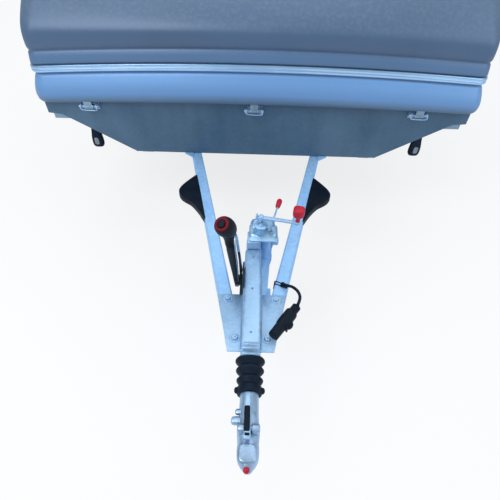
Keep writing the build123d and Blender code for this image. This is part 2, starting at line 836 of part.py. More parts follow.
# Deck: ribbed wheel tracks at the sides, plain floor between them
deck_length = frame_length - 2 * side_rail_flange - 2 * sheet
deck_middle_y = skirt_y + sheet + frame_length / 2
tread_outer_x = side_half_width - side_rail_flange - sheet
tread_width = tread_outer_x - tread_inner_x
tread_middle_x = (tread_inner_x + tread_outer_x) / 2
rib_pitch = tread_width / tread_rib_count
with BuildPart() as deck:
    with BuildSketch(Plane.XY.offset(deck_bottom_z)) as deck_plan:
        with Locations((0, deck_middle_y)):
            Rectangle(2 * tread_outer_x, deck_length)
        chamfer(deck_plan.vertices(), bed_corner_cut - side_rail_flange / 2)
    extrude(amount=deck_thickness)
    for side in (-1, 1):
        with Locations((side * tread_middle_x, deck_middle_y, deck_top_z)):
            with GridLocations(rib_pitch, 0, tread_rib_count, 1):
                Box(
                    rib_pitch / 3, deck_length - 2 * bed_corner_cut, tread_rib_height,
                    align=(Align.CENTER, Align.CENTER, Align.MIN),
                )
save(deck.part, "deck")

# Front skirt plate: straight lower edge with cut corners, and gussets over the arms
skirt_half_width = side_half_width - bed_corner_cut
skirt_edge_z = skirt_bottom_z + (skirt_half_width - skirt_corner_x) * skirt_corner_slope
with BuildPart() as front_skirt:
    with BuildSketch(Plane.XZ.offset(-skirt_y)):
        with BuildLine():
            Polyline(
                (-skirt_corner_x, skirt_bottom_z),
                (skirt_corner_x, skirt_bottom_z),
                (skirt_half_width, skirt_edge_z),
                (skirt_half_width, side_rail_top_z),
                (-skirt_half_width, side_rail_top_z),
                (-skirt_half_width, skirt_edge_z),
                close=True,
            )
        make_face()
    extrude(amount=-sheet)
    for side in (-1, 1):
        gusset_x = side * (arm_centre_x(nose_to_skirt) + arm_section_width)
        with BuildSketch(Plane.YZ.offset(gusset_x)):
            with BuildLine():
                Polyline(
                    (skirt_y, skirt_bottom_z),
                    (skirt_y, skirt_bottom_z + arm_section_width),
                    (skirt_y - arm_section_width, skirt_bottom_z),
                    close=True,
                )
            make_face()
        extrude(amount=side * sheet)
save(front_skirt.part, "front_skirt")

# Axles: square tubes hung under the rails, trailing arms and stub axles outboard
with BuildPart() as axle_tubes:
    for axle_y in axle_ys:
        tube_y = axle_y - arm_trail
        with Locations((0, tube_y, axle_tube_z)):
            Box(2 * (rail_x + rail_width), axle_tube_side, axle_tube_side)
        with Locations(
            (-rail_x, tube_y, axle_tube_z + axle_tube_side / 2),
            (rail_x, tube_y, axle_tube_z + axle_tube_side / 2),
        ):
            Box(
                rail_width, 1.5 * axle_tube_side, rail_bottom_z - axle_tube_z - axle_tube_side / 2,
                align=(Align.CENTER, Align.CENTER, Align.MIN),
            )
save(axle_tubes.part, "axle_tubes")
knuckle_inner_x = rail_x + rail_width
stub_end_x = wheel_centre_x
with BuildPart() as trailing_arms:
    for side in (-1, 1):
        for axle_y in axle_ys:
            tube_y = axle_y - arm_trail
            with BuildSketch(Plane.YZ.offset(side * knuckle_inner_x)):
                with BuildLine():
                    Polyline(
                        (tube_y - arm_height / 2, axle_tube_z + arm_height / 2),
                        (tube_y + arm_height / 2, axle_tube_z + arm_height / 2),
                        (axle_y + arm_height / 2, wheel_z + arm_height / 3),
                        (axle_y + arm_height / 2, wheel_z - arm_height / 3),
                        (axle_y, wheel_z - arm_height / 2),
                        (tube_y - arm_height / 2, axle_tube_z - arm_height / 2),
                        close=True,
                    )
                make_face()
            extrude(amount=side * arm_width)
            with BuildSketch(Plane.YZ.offset(side * knuckle_inner_x)):
                with Locations((axle_y, wheel_z)):
                    Circle(stub_radius)
            extrude(amount=side * (stub_end_x - knuckle_inner_x))
save(trailing_arms.part, "trailing_arms")

# Wheels: tyre, dished rim with holes, hub drum and cap
wheel_rows = [  # name, side, axle index
    ("front_left", -1, 0), ("front_right", 1, 0), ("rear_left", -1, 1), ("rear_right", 1, 1),
]
tyre_bead_radius = rim_radius - rim_wall
hub_inner_x = knuckle_inner_x + arm_width + moving_gap
for name, side, axle_index in wheel_rows:
    axle_y = axle_ys[axle_index]
    spin_axis = Axis((0, axle_y, wheel_z), (1, 0, 0))
    inner_x = wheel_centre_x - tyre_width / 2
    outer_x = wheel_centre_x + tyre_width / 2
    with BuildPart() as tyre:
        with BuildSketch(Plane.XY.offset(wheel_z)):
            with BuildLine():
                Line((side * inner_x, axle_y + tyre_radius - 2 * tyre_shoulder),
                     (side * (inner_x + tyre_shoulder), axle_y + tyre_radius))
                Line((side * (inner_x + tyre_shoulder), axle_y + tyre_radius),
                     (side * (outer_x - tyre_shoulder), axle_y + tyre_radius))
                Line((side * (outer_x - tyre_shoulder), axle_y + tyre_radius),
                     (side * outer_x, axle_y + tyre_radius - 2 * tyre_shoulder))
                Line((side * outer_x, axle_y + tyre_radius - 2 * tyre_shoulder),
                     (side * (outer_x - tyre_shoulder), axle_y + rim_radius))
                Line((side * (outer_x - tyre_shoulder), axle_y + rim_radius),
                     (side * (inner_x + tyre_shoulder), axle_y + rim_radius))
                Line((side * (inner_x + tyre_shoulder), axle_y + rim_radius),
                     (side * inner_x, axle_y + tyre_radius - 2 * tyre_shoulder))
            make_face()
        revolve(axis=spin_axis)
    save(tyre.part, "tyre_" + name)
    rim_inner_x = wheel_centre_x - rim_width / 2
    rim_outer_x = wheel_centre_x + rim_width / 2
    disc_x = wheel_centre_x + dish_offset
    with BuildPart() as rim:
        with BuildSketch(Plane.YZ.offset(side * rim_inner_x)):
            with Locations((axle_y, wheel_z)):
                Circle(rim_radius)
                Circle(rim_radius - rim_wall, mode=Mode.SUBTRACT)
        extrude(amount=side * rim_width)
        with BuildSketch(Plane.YZ.offset(side * disc_x)):
            with Locations((axle_y, wheel_z)):
                Circle(rim_radius - rim_wall / 2)
                with PolarLocations((rim_radius + hub_radius) / 2, 10):
                    Circle(hub_radius / 3, mode=Mode.SUBTRACT)
        extrude(amount=side * rim_wall)
        with BuildSketch(Plane.YZ.offset(side * hub_inner_x)):
            with Locations((axle_y, wheel_z)):
                Circle(hub_radius)
                Circle(stub_radius + seat_gap, mode=Mode.SUBTRACT)
        extrude(amount=side * (disc_x - hub_inner_x))
        with BuildSketch(Plane.YZ.offset(side * (disc_x + rim_wall))):
            with Locations((axle_y, wheel_z)):
                Circle(hub_cap_radius)
        extrude(amount=side * hub_cap_length)
    save(rim.part, "rim_" + name)

# Mudguards: one long guard over each pair of wheels, with stays from the rails
guard_radius = tyre_radius + guard_clearance
with BuildPart() as mudguards:
    for side in (-1, 1):
        guard_plane = Plane.YZ.offset(side * (wheel_centre_x - guard_width / 2))
        with BuildSketch(guard_plane):
            for radius, mode in ((guard_radius + guard_thickness, Mode.ADD), (guard_radius, Mode.SUBTRACT)):
                with Locations((axle_ys[0], wheel_z), (axle_ys[1], wheel_z)):
                    Circle(radius, mode=mode)
                with Locations(((axle_ys[0] + axle_ys[1]) / 2, wheel_z)):
                    Rectangle(
                        axle_spacing, radius, align=(Align.CENTER, Align.MIN), mode=mode
                    )
            with Locations(((axle_ys[0] + axle_ys[1]) / 2, guard_bottom_z)):
                Rectangle(
                    4 * axle_spacing, 2 * tyre_radius, align=(Align.CENTER, Align.MAX),
                    mode=Mode.SUBTRACT,
                )
        extrude(amount=side * guard_width)
save(mudguards.part, "mudguards")
stay_x = (wheel_centre_x + rail_x + rail_width / 2) / 2
with BuildPart() as guard_stays:
    for side in (-1, 1):
        for axle_y in axle_ys:
            with Locations((side * (rail_x + rail_width / 2), axle_y, wheel_z + guard_radius - stay_width ** 2 / guard_radius / 4)):
                Box(
                    wheel_centre_x - rail_x - rail_width / 2, stay_width, stay_height,
                    align=(Align.MIN if side > 0 else Align.MAX, Align.CENTER, Align.MAX),
                )

# Wheel chocks held against the outer faces of the arms
with BuildPart() as wheel_chocks:
    for side in (-1, 1):
        along = Vector(side * sin(radians(arm_angle)), cos(radians(arm_angle)), 0)
        outwards = Vector(side * cos(radians(arm_angle)), -sin(radians(arm_angle)), 0)
        chock_origin = Vector(side * arm_centre_x(chock_start), from_nose(chock_start), arm_top_z)
        chock_origin = chock_origin + outwards * (arm_section_width / 2)
        chock_plane = Plane(
            origin=chock_origin, x_dir=along, z_dir=along.cross(outwards)
        )
        with BuildSketch(chock_plane):
            with BuildLine():
                Line((0, 0), (chock_length, 0))
                Line((chock_length, 0), (chock_length * chock_peak_share, chock_reach))
                ThreePointArc(
                    (chock_length * chock_peak_share, chock_reach),
                    (chock_length * chock_peak_share / 2, chock_reach / 2 - chock_hollow),
                    (0, 0),
                )
            make_face()
        extrude(amount=chock_height * side)
save(wheel_chocks.part, "wheel_chocks")

# Position lamps behind the cut corners of the skirt
with BuildPart() as position_lamps:
    for side in (-1, 1):
        with Locations((side * lamp_x, skirt_y + sheet, lamp_bottom_z)):
            Box(
                lamp_width, lamp_depth, lamp_top_z - lamp_bottom_z,
                align=(Align.CENTER, Align.MIN, Align.MIN),
            )
save(position_lamps.part, "position_lamps")
with BuildPart() as position_lenses:
    for side in (-1, 1):
        with BuildSketch(Plane.XZ.offset(-(skirt_y + sheet))):
            with Locations((side * lamp_x, lamp_lens_z)):
                Circle(lamp_lens_radius)
        extrude(amount=lamp_lens_depth)
save(position_lenses.part, "position_lenses")

# Tail: lamp bar under the rear beam, lamps and a blank number plate
tail_bar_y = bed_rear_y - tail_bar_depth
with BuildPart() as tail_bar:
    with Locations((0, tail_bar_y, side_rail_low_z)):
        Box(
            2 * side_half_width, tail_bar_depth, tail_bar_height,
            align=(Align.CENTER, Align.MIN, Align.MAX),
        )
save(tail_bar.part, "tail_bar")
tail_item_z = side_rail_low_z - tail_bar_height / 2
with BuildPart() as tail_lamps:
    with Locations((-tail_lamp_x, bed_rear_y, tail_item_z), (tail_lamp_x, bed_rear_y, tail_item_z)):
        Box(
            tail_lamp_width, tail_lamp_depth, tail_lamp_height,
            align=(Align.CENTER, Align.MIN, Align.CENTER),
        )
save(tail_lamps.part, "tail_lamps")
with BuildPart() as number_plate:
    with Locations((0, bed_rear_y, tail_item_z)):
        Box(
            plate_width, plate_thickness, plate_height,
            align=(Align.CENTER, Align.MIN, Align.CENTER),
        )
save(number_plate.part, "number_plate")

# Rear prop stands, folded forwards under the bed, swinging down about cross pins
stand_y = bed_rear_y - stand_from_rear
with BuildPart() as stand_brackets:
    for side in (-1, 1):
        for ear in (-1, 1):
            ear_x = side * stand_x + ear * (stand_side / 2 + moving_gap + stand_ear_thickness / 2)
            with Locations((ear_x, stand_y, stand_pivot_z - stand_side / 2)):
                Box(
                    stand_ear_thickness, 2 * stand_side, rail_top_z - stand_pivot_z + stand_side / 2,
                    align=(Align.CENTER, Align.CENTER, Align.MIN),
                )
        with BuildSketch(Plane.YZ.offset(side * stand_x - stand_side / 2 - moving_gap)):
            with Locations((stand_y, stand_pivot_z)):
                Circle(brake_pin_radius)
        extrude(amount=stand_side + 2 * moving_gap)
        with Locations((side * stand_x, stand_y, rail_top_z)):
            Box(
                stand_side + 4 * moving_gap, 2 * stand_side, stand_ear_thickness,
                align=(Align.CENTER, Align.CENTER, Align.MAX),
            )
for name, side in (("left", -1), ("right", 1)):
    with BuildPart() as prop_stand:
        with Locations((side * stand_x, stand_y + stand_side / 2, stand_pivot_z)):
            Box(
                stand_side, stand_length, stand_side,
                align=(Align.CENTER, Align.MAX, Align.CENTER),
            )
        with Locations((side * stand_x, stand_y + stand_side / 2 - stand_length, stand_pivot_z)):
            Box(
                stand_foot, stand_foot_thickness, 1.5 * stand_side,
                align=(Align.CENTER, Align.MAX, Align.CENTER),
            )
        with BuildSketch(Plane.YZ.offset(side * stand_x - stand_side)):
            with Locations((stand_y, stand_pivot_z)):
                Circle(brake_pin_radius + seat_gap)
        extrude(amount=2 * stand_side, mode=Mode.SUBTRACT)
    save(prop_stand.part, "prop_stand_" + name)

# Loading ramps stowed in runners under the floor, drawn out to the rear
ramp_rear_y = bed_rear_y - tail_bar_depth - moving_gap
ramp_bottom_z = ramp_top_z - ramp_height
with BuildPart() as underfloor_brackets:
    for side in (-1, 1):
        for edge in (-1, 1):
            runner_x = side * ramp_x + edge * (ramp_width / 2 + seat_gap)
            with BuildSketch(Plane.XZ.offset(-(ramp_rear_y - ramp_length))):
                with BuildLine():
                    lip = runner_x - edge * 4 * runner_thickness
                    outer = runner_x + edge * runner_thickness
                    Polyline(
                        (runner_x, rail_top_z),
                        (outer, rail_top_z),
                        (outer, ramp_bottom_z - seat_gap - runner_thickness),
                        (lip, ramp_bottom_z - seat_gap - runner_thickness),
                        (lip, ramp_bottom_z - seat_gap),
                        (runner_x, ramp_bottom_z - seat_gap),
                        close=True,
                    )
                make_face()
            extrude(amount=-ramp_length)
    add(guard_stays.part)
    add(stand_brackets.part)
save(underfloor_brackets.part, "underfloor_brackets")
for name, side in (("left", -1), ("right", 1)):
    with BuildPart() as ramp:
        with Locations((side * ramp_x, ramp_rear_y, ramp_bottom_z)):
            Box(
                ramp_width, ramp_length, ramp_height,
                align=(Align.CENTER, Align.MAX, Align.MIN),
            )
            Box(
                ramp_width - 2 * ramp_wall, ramp_length, ramp_height - ramp_wall,
                align=(Align.CENTER, Align.MAX, Align.MIN), mode=Mode.SUBTRACT,
            )
        rung_pitch = ramp_length / (ramp_rung_count + 1)
        with Locations((side * ramp_x, ramp_rear_y - ramp_length / 2, ramp_bottom_z)):
            with GridLocations(0, rung_pitch, 1, ramp_rung_count):
                Box(
                    ramp_width - ramp_wall, ramp_rung_width, ramp_height,
                    align=(Align.CENTER, Align.CENTER, Align.MIN),
                )
    save(ramp.part, "ramp_" + name)

# Hood: one plan outline, side profile and front section, cut into its mouldings
hood_front_y = skirt_y - hood_front
hood_length = tail_y - hood_front_y


def plan_outline(inset):
    """Sketch of the hood's plan, drawn in by inset: bowed front, rounded corners."""
    with BuildSketch() as plan:
        with Locations((0, hood_front_y + inset)):
            Rectangle(
                2 * (hood_half_width - inset), hood_length - 2 * inset,
                align=(Align.CENTER, Align.MIN),
            )
        with Locations((0, hood_front_y + inset + hood_front_sag_radius)):
            Circle(hood_front_sag_radius, mode=Mode.INTERSECT)
        fillet(plan.vertices().group_by(Axis.Y)[0], hood_corner_radius - inset)
        fillet(plan.vertices().group_by(Axis.Y)[-1], hood_corner_radius - inset)
    return plan.sketch


def arch_slab(low_z, low_sag, high_z, high_sag):
    """Solid between two arches that drop by their sags at the side walls."""
    reach = hood_half_width + 2 * hood_bulge
    grow = (reach / hood_half_width) ** 2
    with BuildPart() as slab:
        with BuildSketch(Plane.XZ.offset(-(hood_front_y - 2 * hood_bulge))):
            with BuildLine():
                ThreePointArc(
                    (-reach, low_z - low_sag * grow), (0, low_z), (reach, low_z - low_sag * grow)
                )
                Line((reach, low_z - low_sag * grow), (reach, high_z - high_sag * grow))
                ThreePointArc(
                    (reach, high_z - high_sag * grow), (0, high_z), (-reach, high_z - high_sag * grow)
                )
                Line((-reach, high_z - high_sag * grow), (-reach, low_z - low_sag * grow))
            make_face()
        extrude(amount=-(hood_length + 4 * hood_bulge))
    return slab.part


def side_profile(inset):
    """Sketch of the hood from the side, drawn in by inset."""
    low = hood_lip_z - hood_depth_below
    with BuildSketch(Plane.YZ) as profile:
        with BuildLine():
            Polyline(
                (hood_front_y, low),
                (hood_front_y, hood_crease_z),
                (hood_front_y + hood_slope_run, hood_front_top_z),
            )
            ThreePointArc(
                (hood_front_y + hood_slope_run, hood_front_top_z),
                (hood_front_y + hood_roof_peak_share * hood_length, hood_roof_z),
                (tail_y - hood_tail_run, hood_tail_roof_z),
            )
            Polyline(
                (tail_y - hood_tail_run, hood_tail_roof_z),
                (tail_y, hood_tail_shoulder_z),
                (tail_y, low),
                (hood_front_y, low),
            )
        make_face()
        if inset:
            offset(amount=-inset, kind=Kind.INTERSECTION)
    return profile.sketch


def hood_block(inset):
    """Solid of the upper hood drawn in by inset: side profile, front section and bow, edges rounded.

    The roof's arch starts where the sloping front ends, so no short edge is left there.
    """
    low = hood_lip_z - hood_depth_below
    profile = side_profile(inset)
    slope_top = profile.vertices().sort_by_distance(
        (0, hood_front_y + hood_slope_run, hood_front_top_z)
    )[0]
    half_width = hood_half_width - inset
    with BuildPart() as block:
        add(extrude(profile, amount=hood_half_width, both=True))
        with BuildSketch(Plane.XZ.offset(-(hood_front_y - hood_bulge))):
            with BuildLine():
                Polyline(
                    (-half_width, slope_top.Z),
                    (-half_width, low),
                    (half_width, low),
                    (half_width, slope_top.Z),
                )
                ThreePointArc(
                    (half_width, slope_top.Z),
                    (0, hood_roof_z - inset),
                    (-half_width, slope_top.Z),
                )
            make_face()
        extrude(amount=-(hood_length + 2 * hood_bulge), mode=Mode.INTERSECT)
        with BuildSketch(Plane.XY.offset(low)):
            with Locations((0, hood_front_y + inset + hood_front_sag_radius)):
                Circle(hood_front_sag_radius)
        extrude(amount=hood_roof_z, mode=Mode.INTERSECT)
        bottom = block.faces().sort_by(Axis.Z)[0]
        upper_edges = [edge for edge in block.edges() if edge not in bottom.edges()]
        fillet(upper_edges, hood_edge_round - (inset - hood_bulge))
    return block.part


low_z = hood_lip_z - hood_depth_below
skirt_plan = plan_outline(0)
band_plan = plan_outline(hood_bulge - hood_band_proud)
above_lip = arch_slab(hood_lip_z, hood_lip_sag, 2 * hood_roof_z, hood_lip_sag)
skirt_slab = arch_slab(hood_lip_z, hood_lip_sag, hood_groove_z, hood_arch_sag)
band_slab = arch_slab(hood_band_low_z, hood_arch_sag, hood_band_high_z, hood_arch_sag)
shell_outer = hood_block(hood_bulge)
shell_inner = hood_block(hood_bulge + hood_wall)
plinth_slab = arch_slab(hood_band_high_z, hood_arch_sag, hood_ledge_z, hood_arch_sag)
plinth_plan = plan_outline(hood_bulge - hood_ledge)
with BuildPart() as hood_plinth:
    with BuildSketch(Plane.XY.offset(low_z)):
        add(plinth_plan)
    extrude(amount=hood_crease_z - low_z)
    add(plinth_slab, mode=Mode.INTERSECT)
with BuildPart() as hood_shell:
    add(shell_outer)
    add(above_lip, mode=Mode.INTERSECT)
    add(hood_plinth.part)
    add(shell_inner, mode=Mode.SUBTRACT)
save(hood_shell.part, "hood_shell")

# Bulged lower moulding round the hood, and the trim band above its groove
with BuildPart() as hood_skirt:
    with BuildSketch(Plane.XY.offset(low_z)):
        add(skirt_plan)
    extrude(amount=hood_skirt_top_z - low_z)
    fillet(hood_skirt.faces().sort_by(Axis.Z)[-1].edges(), hood_bulge_round)
    add(shell_outer, mode=Mode.SUBTRACT)
    add(skirt_slab, mode=Mode.INTERSECT)
save(hood_skirt.part, "hood_skirt")
with BuildPart() as hood_band:
    with BuildSketch(Plane.XY.offset(low_z)):
        add(band_plan)
    extrude(amount=hood_crease_z - low_z)
    add(shell_outer, mode=Mode.SUBTRACT)
    add(band_slab, mode=Mode.INTERSECT)
save(hood_band.part, "hood_band")

# Hinges: ears and pins on the skirt plate, leaves under the hood's front lip
hinge_y = skirt_y + hinge_axis_back
hinge_rows = [-hinge_x, 0, hinge_x]
with BuildPart() as hinge_brackets:
    for x in hinge_rows:
        for ear in (-1, 1):
            ear_x = x + ear * (hinge_half_width - hinge_ear_width / 2)
            with BuildSketch(Plane.YZ.offset(ear_x - hinge_ear_width / 2)):
                with Locations((hinge_y, hinge_axis_z)):
                    Circle(hinge_ear_radius)
                    Rectangle(
                        -hinge_axis_back, 2 * hinge_ear_radius, align=(Align.MIN, Align.CENTER)
                    )
            extrude(amount=hinge_ear_width)
        with BuildSketch(Plane.YZ.offset(x - hinge_half_width - hinge_ear_width)):
            with Locations((hinge_y, hinge_axis_z)):
                Circle(hinge_pin_radius)
        extrude(amount=2 * (hinge_half_width + hinge_ear_width))
save(hinge_brackets.part, "hinge_brackets")
with BuildPart() as hinge_leaves:
    for x in hinge_rows:
        with BuildSketch(Plane.YZ.offset(x - hinge_leaf_half_width)):
            with Locations((hinge_y, hinge_axis_z)):
                Circle(hinge_leaf_radius)
            with Locations((hinge_y, hinge_axis_z)):
                Rectangle(
                    2 * hinge_leaf_radius, hood_lip_z - hinge_axis_z + hinge_leaf_radius,
                    align=(Align.MAX, Align.MIN),
                )
            with Locations((hinge_y, hinge_axis_z)):
                Circle(hinge_pin_radius + seat_gap, mode=Mode.SUBTRACT)
        extrude(amount=2 * hinge_leaf_half_width)
    add(hood_skirt.part, mode=Mode.SUBTRACT)
    add(hood_shell.part, mode=Mode.SUBTRACT)

# Gas struts: feet on the side rails, tubes, rods, and eyes on the hood's side walls
eye_y = skirt_y + strut_eye_back
strut_rise = strut_eye_z - strut_foot_z
strut_run = strut_eye_back - strut_foot_back
strut_length = sqrt(strut_rise ** 2 + strut_run ** 2)
strut_direction = Vector(0, strut_run, strut_rise).normalized()
with BuildPart() as strut_hangers:
    for side in (-1, 1):
        with BuildSketch(Plane.YZ.offset(side * (strut_x + strut_eye_width / 2 + seat_gap))):
            with Locations((eye_y, strut_eye_z)):
                Circle(strut_pin_radius)
        extrude(amount=side * strut_eye_width)
        with BuildSketch(Plane.YZ.offset(side * (strut_x + strut_eye_width))):
            with Locations((eye_y, strut_eye_z)):
                Circle(2 * strut_eye_radius)
        extrude(amount=side * (hood_half_width - strut_x))
    add(shell_inner, mode=Mode.INTERSECT)
with BuildPart() as hood_fittings:
    add(hinge_leaves.part)
    add(strut_hangers.part)
save(hood_fittings.part, "hood_fittings")
for name, side in (("left", -1), ("right", 1)):
    strut_plane = Plane(
        origin=(side * strut_x, foot_y, strut_foot_z), x_dir=(1, 0, 0), z_dir=strut_direction
    )
    with BuildPart() as strut_tube:
        with BuildSketch(strut_plane):
            Circle(strut_tube_radius)
        extrude(amount=strut_tube_length)
        with BuildSketch(Plane.YZ.offset(side * strut_x - strut_eye_width / 2)):
            with Locations((foot_y, strut_foot_z)):
                Circle(strut_eye_radius)
        extrude(amount=strut_eye_width)
        with BuildSketch(strut_plane.offset(2 * strut_eye_radius)):
            Circle(strut_rod_radius + seat_gap)
        extrude(amount=strut_tube_length, mode=Mode.SUBTRACT)
        with BuildSketch(Plane.YZ.offset(side * strut_x - strut_eye_width)):
            with Locations((foot_y, strut_foot_z)):
                Circle(strut_pin_radius + seat_gap)
        extrude(amount=2 * strut_eye_width, mode=Mode.SUBTRACT)
    save(strut_tube.part, "strut_tube_" + name)
    with BuildPart() as strut_rod:
        with BuildSketch(strut_plane.offset(strut_length - strut_rod_length)):
            Circle(strut_rod_radius)
        extrude(amount=strut_rod_length - (strut_eye_radius + strut_pin_radius) / 2)
        with BuildSketch(Plane.YZ.offset(side * strut_x - strut_eye_width / 2)):
            with Locations((eye_y, strut_eye_z)):
                Circle(strut_eye_radius)
        extrude(amount=strut_eye_width)
    save(strut_rod.part, "strut_rod_" + name)

# Connector lead: gland on the right arm, free cord, plug lying across the flange plate
plug_axis_z = arm_top_z + flange_thickness + flange_bolt_height + plug_radius
gland_x = 112.0
gland_from_nose = 618.0
gland_height = 16.0
lead_points = [  # x, length behind the nose, z
    (gland_x, gland_from_nose, arm_top_z + gland_height),
    (120.0, 606.0, 538.0),
    (141.0, 578.0, 547.0),
    (168.0, 551.0, 545.0),
    (177.0, 519.0, 540.0),
]
plug_rear = (164.0, 486.0, plug_axis_z)
plug_front = (80.0, 371.0, plug_axis_z)
with BuildPart() as lead_gland:
    with Locations((gland_x, from_nose(gland_from_nose), arm_top_z)):
        Cylinder(
            2 * lead_radius, gland_height, align=(Align.CENTER, Align.CENTER, Align.MIN)
        )
save(lead_gland.part, "lead_gland")


def place(point):
    """A lead point as a vector, its length behind the nose turned into Y."""
    return Vector(point[0], from_nose(point[1]), point[2])


plug_direction = (place(plug_front) - place(plug_rear)).normalized()
plug_plane = Plane(origin=place(plug_rear), x_dir=(0, 0, 1), z_dir=plug_direction)
with BuildPart() as plug:
    with BuildSketch(plug_plane):
        Circle(plug_tail_radius)
    extrude(amount=plug_tail_length)
    with BuildSketch(plug_plane.offset(plug_tail_length)):
        Circle(plug_radius)
    extrude(amount=plug_body_length)
save(plug.part, "plug")
route = [place(point) for point in lead_points] + [place(plug_rear)]
radii = []
for before, corner, after in zip(route, route[1:], route[2:]):
    shorter = min((corner - before).length, (after - corner).length)
    turn = (corner - before).get_angle(after - corner)
    radii.append(0.45 * shorter / abs(sin(radians(turn) / 2) / cos(radians(turn) / 2)))
print("lead radii", [round(radius, 1) for radius in radii])
with BuildPart() as lead:
    with BuildLine() as lead_line:
        FilletPolyline(*route, radius=radii)
    start_tangent = lead_line.line % 0
    with BuildSketch(Plane(origin=route[0], z_dir=start_tangent)):
        Circle(lead_radius)
    sweep()
save(lead.part, "lead")
print("all pieces done, total length", total_length)
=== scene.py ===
# %% [markdown]
# # A covered car hauler, dressed from its drawbar to its tail
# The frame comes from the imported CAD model: every named part is already in its place, in
# metres, with -Y towards the coupling and +Z up. This script adds what CAD leaves out: cast
# and moulded shapes, rubber, bolts, tread and the finish of every surface.
# %% Load the frame
import math
import bmesh
import bpy
from mathutils import Matrix, Vector


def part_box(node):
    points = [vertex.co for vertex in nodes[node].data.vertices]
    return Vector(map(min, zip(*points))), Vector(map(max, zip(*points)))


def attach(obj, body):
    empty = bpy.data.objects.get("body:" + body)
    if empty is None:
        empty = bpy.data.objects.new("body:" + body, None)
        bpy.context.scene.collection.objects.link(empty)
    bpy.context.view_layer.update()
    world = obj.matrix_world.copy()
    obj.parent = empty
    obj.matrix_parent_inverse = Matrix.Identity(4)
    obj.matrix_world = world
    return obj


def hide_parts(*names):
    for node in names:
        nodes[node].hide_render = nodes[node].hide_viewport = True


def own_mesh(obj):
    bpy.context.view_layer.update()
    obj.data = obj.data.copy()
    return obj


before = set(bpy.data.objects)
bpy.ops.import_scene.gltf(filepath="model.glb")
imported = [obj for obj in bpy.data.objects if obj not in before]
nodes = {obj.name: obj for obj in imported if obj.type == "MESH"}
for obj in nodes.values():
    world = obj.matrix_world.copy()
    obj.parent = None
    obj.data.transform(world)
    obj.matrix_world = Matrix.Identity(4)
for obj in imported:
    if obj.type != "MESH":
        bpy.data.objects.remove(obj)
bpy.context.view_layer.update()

# %% [markdown]
# ## Places are read as on a drawing
# A workshop would measure this trailer back from the nose of the coupling, in millimetres.
# `at` turns such a place (across, behind the nose, height) into the frame's metres, so that
# every piece below can be written with the numbers one would read off a tape.
# %% Measure from the coupling nose
nose_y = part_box("coupling_head")[0].y


def at(across, back, height):
    """A place in the frame, from millimetres across, behind the nose, and above the floor."""
    return Vector((across / 1000, nose_y + back / 1000, height / 1000))


print("nose at", round(nose_y, 4))

# %% [markdown]
# ## The camera stands where the photographer stood
# The picture was taken close to the coupling, from head height, looking half down. A wide
# lens that near makes the coupling large and the hood wide. The lens, height and tilt were
# worked out from parts of known size, and the picture is turned a degree and a half.
# %% Set the camera


def placed(name, data):
    """A new object in the scene, at the origin."""
    made = bpy.data.objects.new(name, data)
    bpy.context.scene.collection.objects.link(made)
    return made


camera_data = bpy.data.cameras.new("view_over_drawbar")
camera_data.sensor_width = 36
camera_data.lens = 26
camera = placed("view_over_drawbar", camera_data)
standpoint = at(-7, -250, 1550)
heading, tilt, roll = (math.radians(degrees) for degrees in (0.33, 45, 1.5))
camera.matrix_world = (
    Matrix.Translation(standpoint)
    @ Matrix.Rotation(heading, 4, "Z")
    @ Matrix.Rotation(tilt, 4, "X")
    @ Matrix.Rotation(roll, 4, "Z")
)
bpy.context.scene.camera = camera
print("camera height", round(camera.location.z, 2))

# %% [markdown]
# ## The connector lead comes first
# A lead is a fixed length of something bendy. It leaves a sleeve on the right arm, rises,
# turns over and drops into the tail of the plug, which lies across the flange plate. A
# NURBS spline through a few control points gives one even bend, where straight
# pieces with rounded corners would look like wire.
# %% Lay the connector lead
lead_route = [
    at(124, 606, 512), at(133, 596, 526), at(149, 574, 543), at(165, 551, 546),
    at(170, 524, 540), at(155, 495, 537),
]
lead_curve = bpy.data.curves.new("connector_lead", "CURVE")
lead_curve.dimensions = "3D"
lead_line = lead_curve.splines.new("NURBS")
lead_line.points.add(len(lead_route) - 1)
for point, place in zip(lead_line.points, lead_route):
    point.co = (*place, 1)
lead_line.order_u = 3
lead_line.use_endpoint_u = True
lead_line.resolution_u = 16
lead_curve.bevel_depth = 0.0055
lead_curve.bevel_resolution = 4
lead_curve.use_fill_caps = True
lead = placed("connector_lead", lead_curve)
lead_length = lead_line.calc_length()
print("lead", round(lead_length * 1000), "mm")

# %% [markdown]
# ## Wiring a finish like a sum
# Shader maths is easier to read as a sum than as a list of nodes. `Wire` wraps the output
# of a node, so `1 - mask * 0.4` adds the Math nodes by itself. `Finish.node` adds any other
# node: its settings first, then the values or wires of its sockets.
# %% A wire that can be added and multiplied
class Wire:
    """The output of a node, which can be used in ordinary sums."""

    def __init__(self, finish, socket):
        self.finish = finish
        self.socket = socket

    def sum(self, operation, first, second):
        return self.finish.node("ShaderNodeMath", {0: first, 1: second}, operation=operation)

    def __add__(self, other):
        return self.sum("ADD", self, other)

    def __sub__(self, other):
        return self.sum("SUBTRACT", self, other)

    def __rsub__(self, other):
        return self.sum("SUBTRACT", other, self)

    def __mul__(self, other):
        return self.sum("MULTIPLY", self, other)

    __radd__ = __add__
    __rmul__ = __mul__

    def clamp(self):
        return self.finish.node("Clamp", {"Value": self})


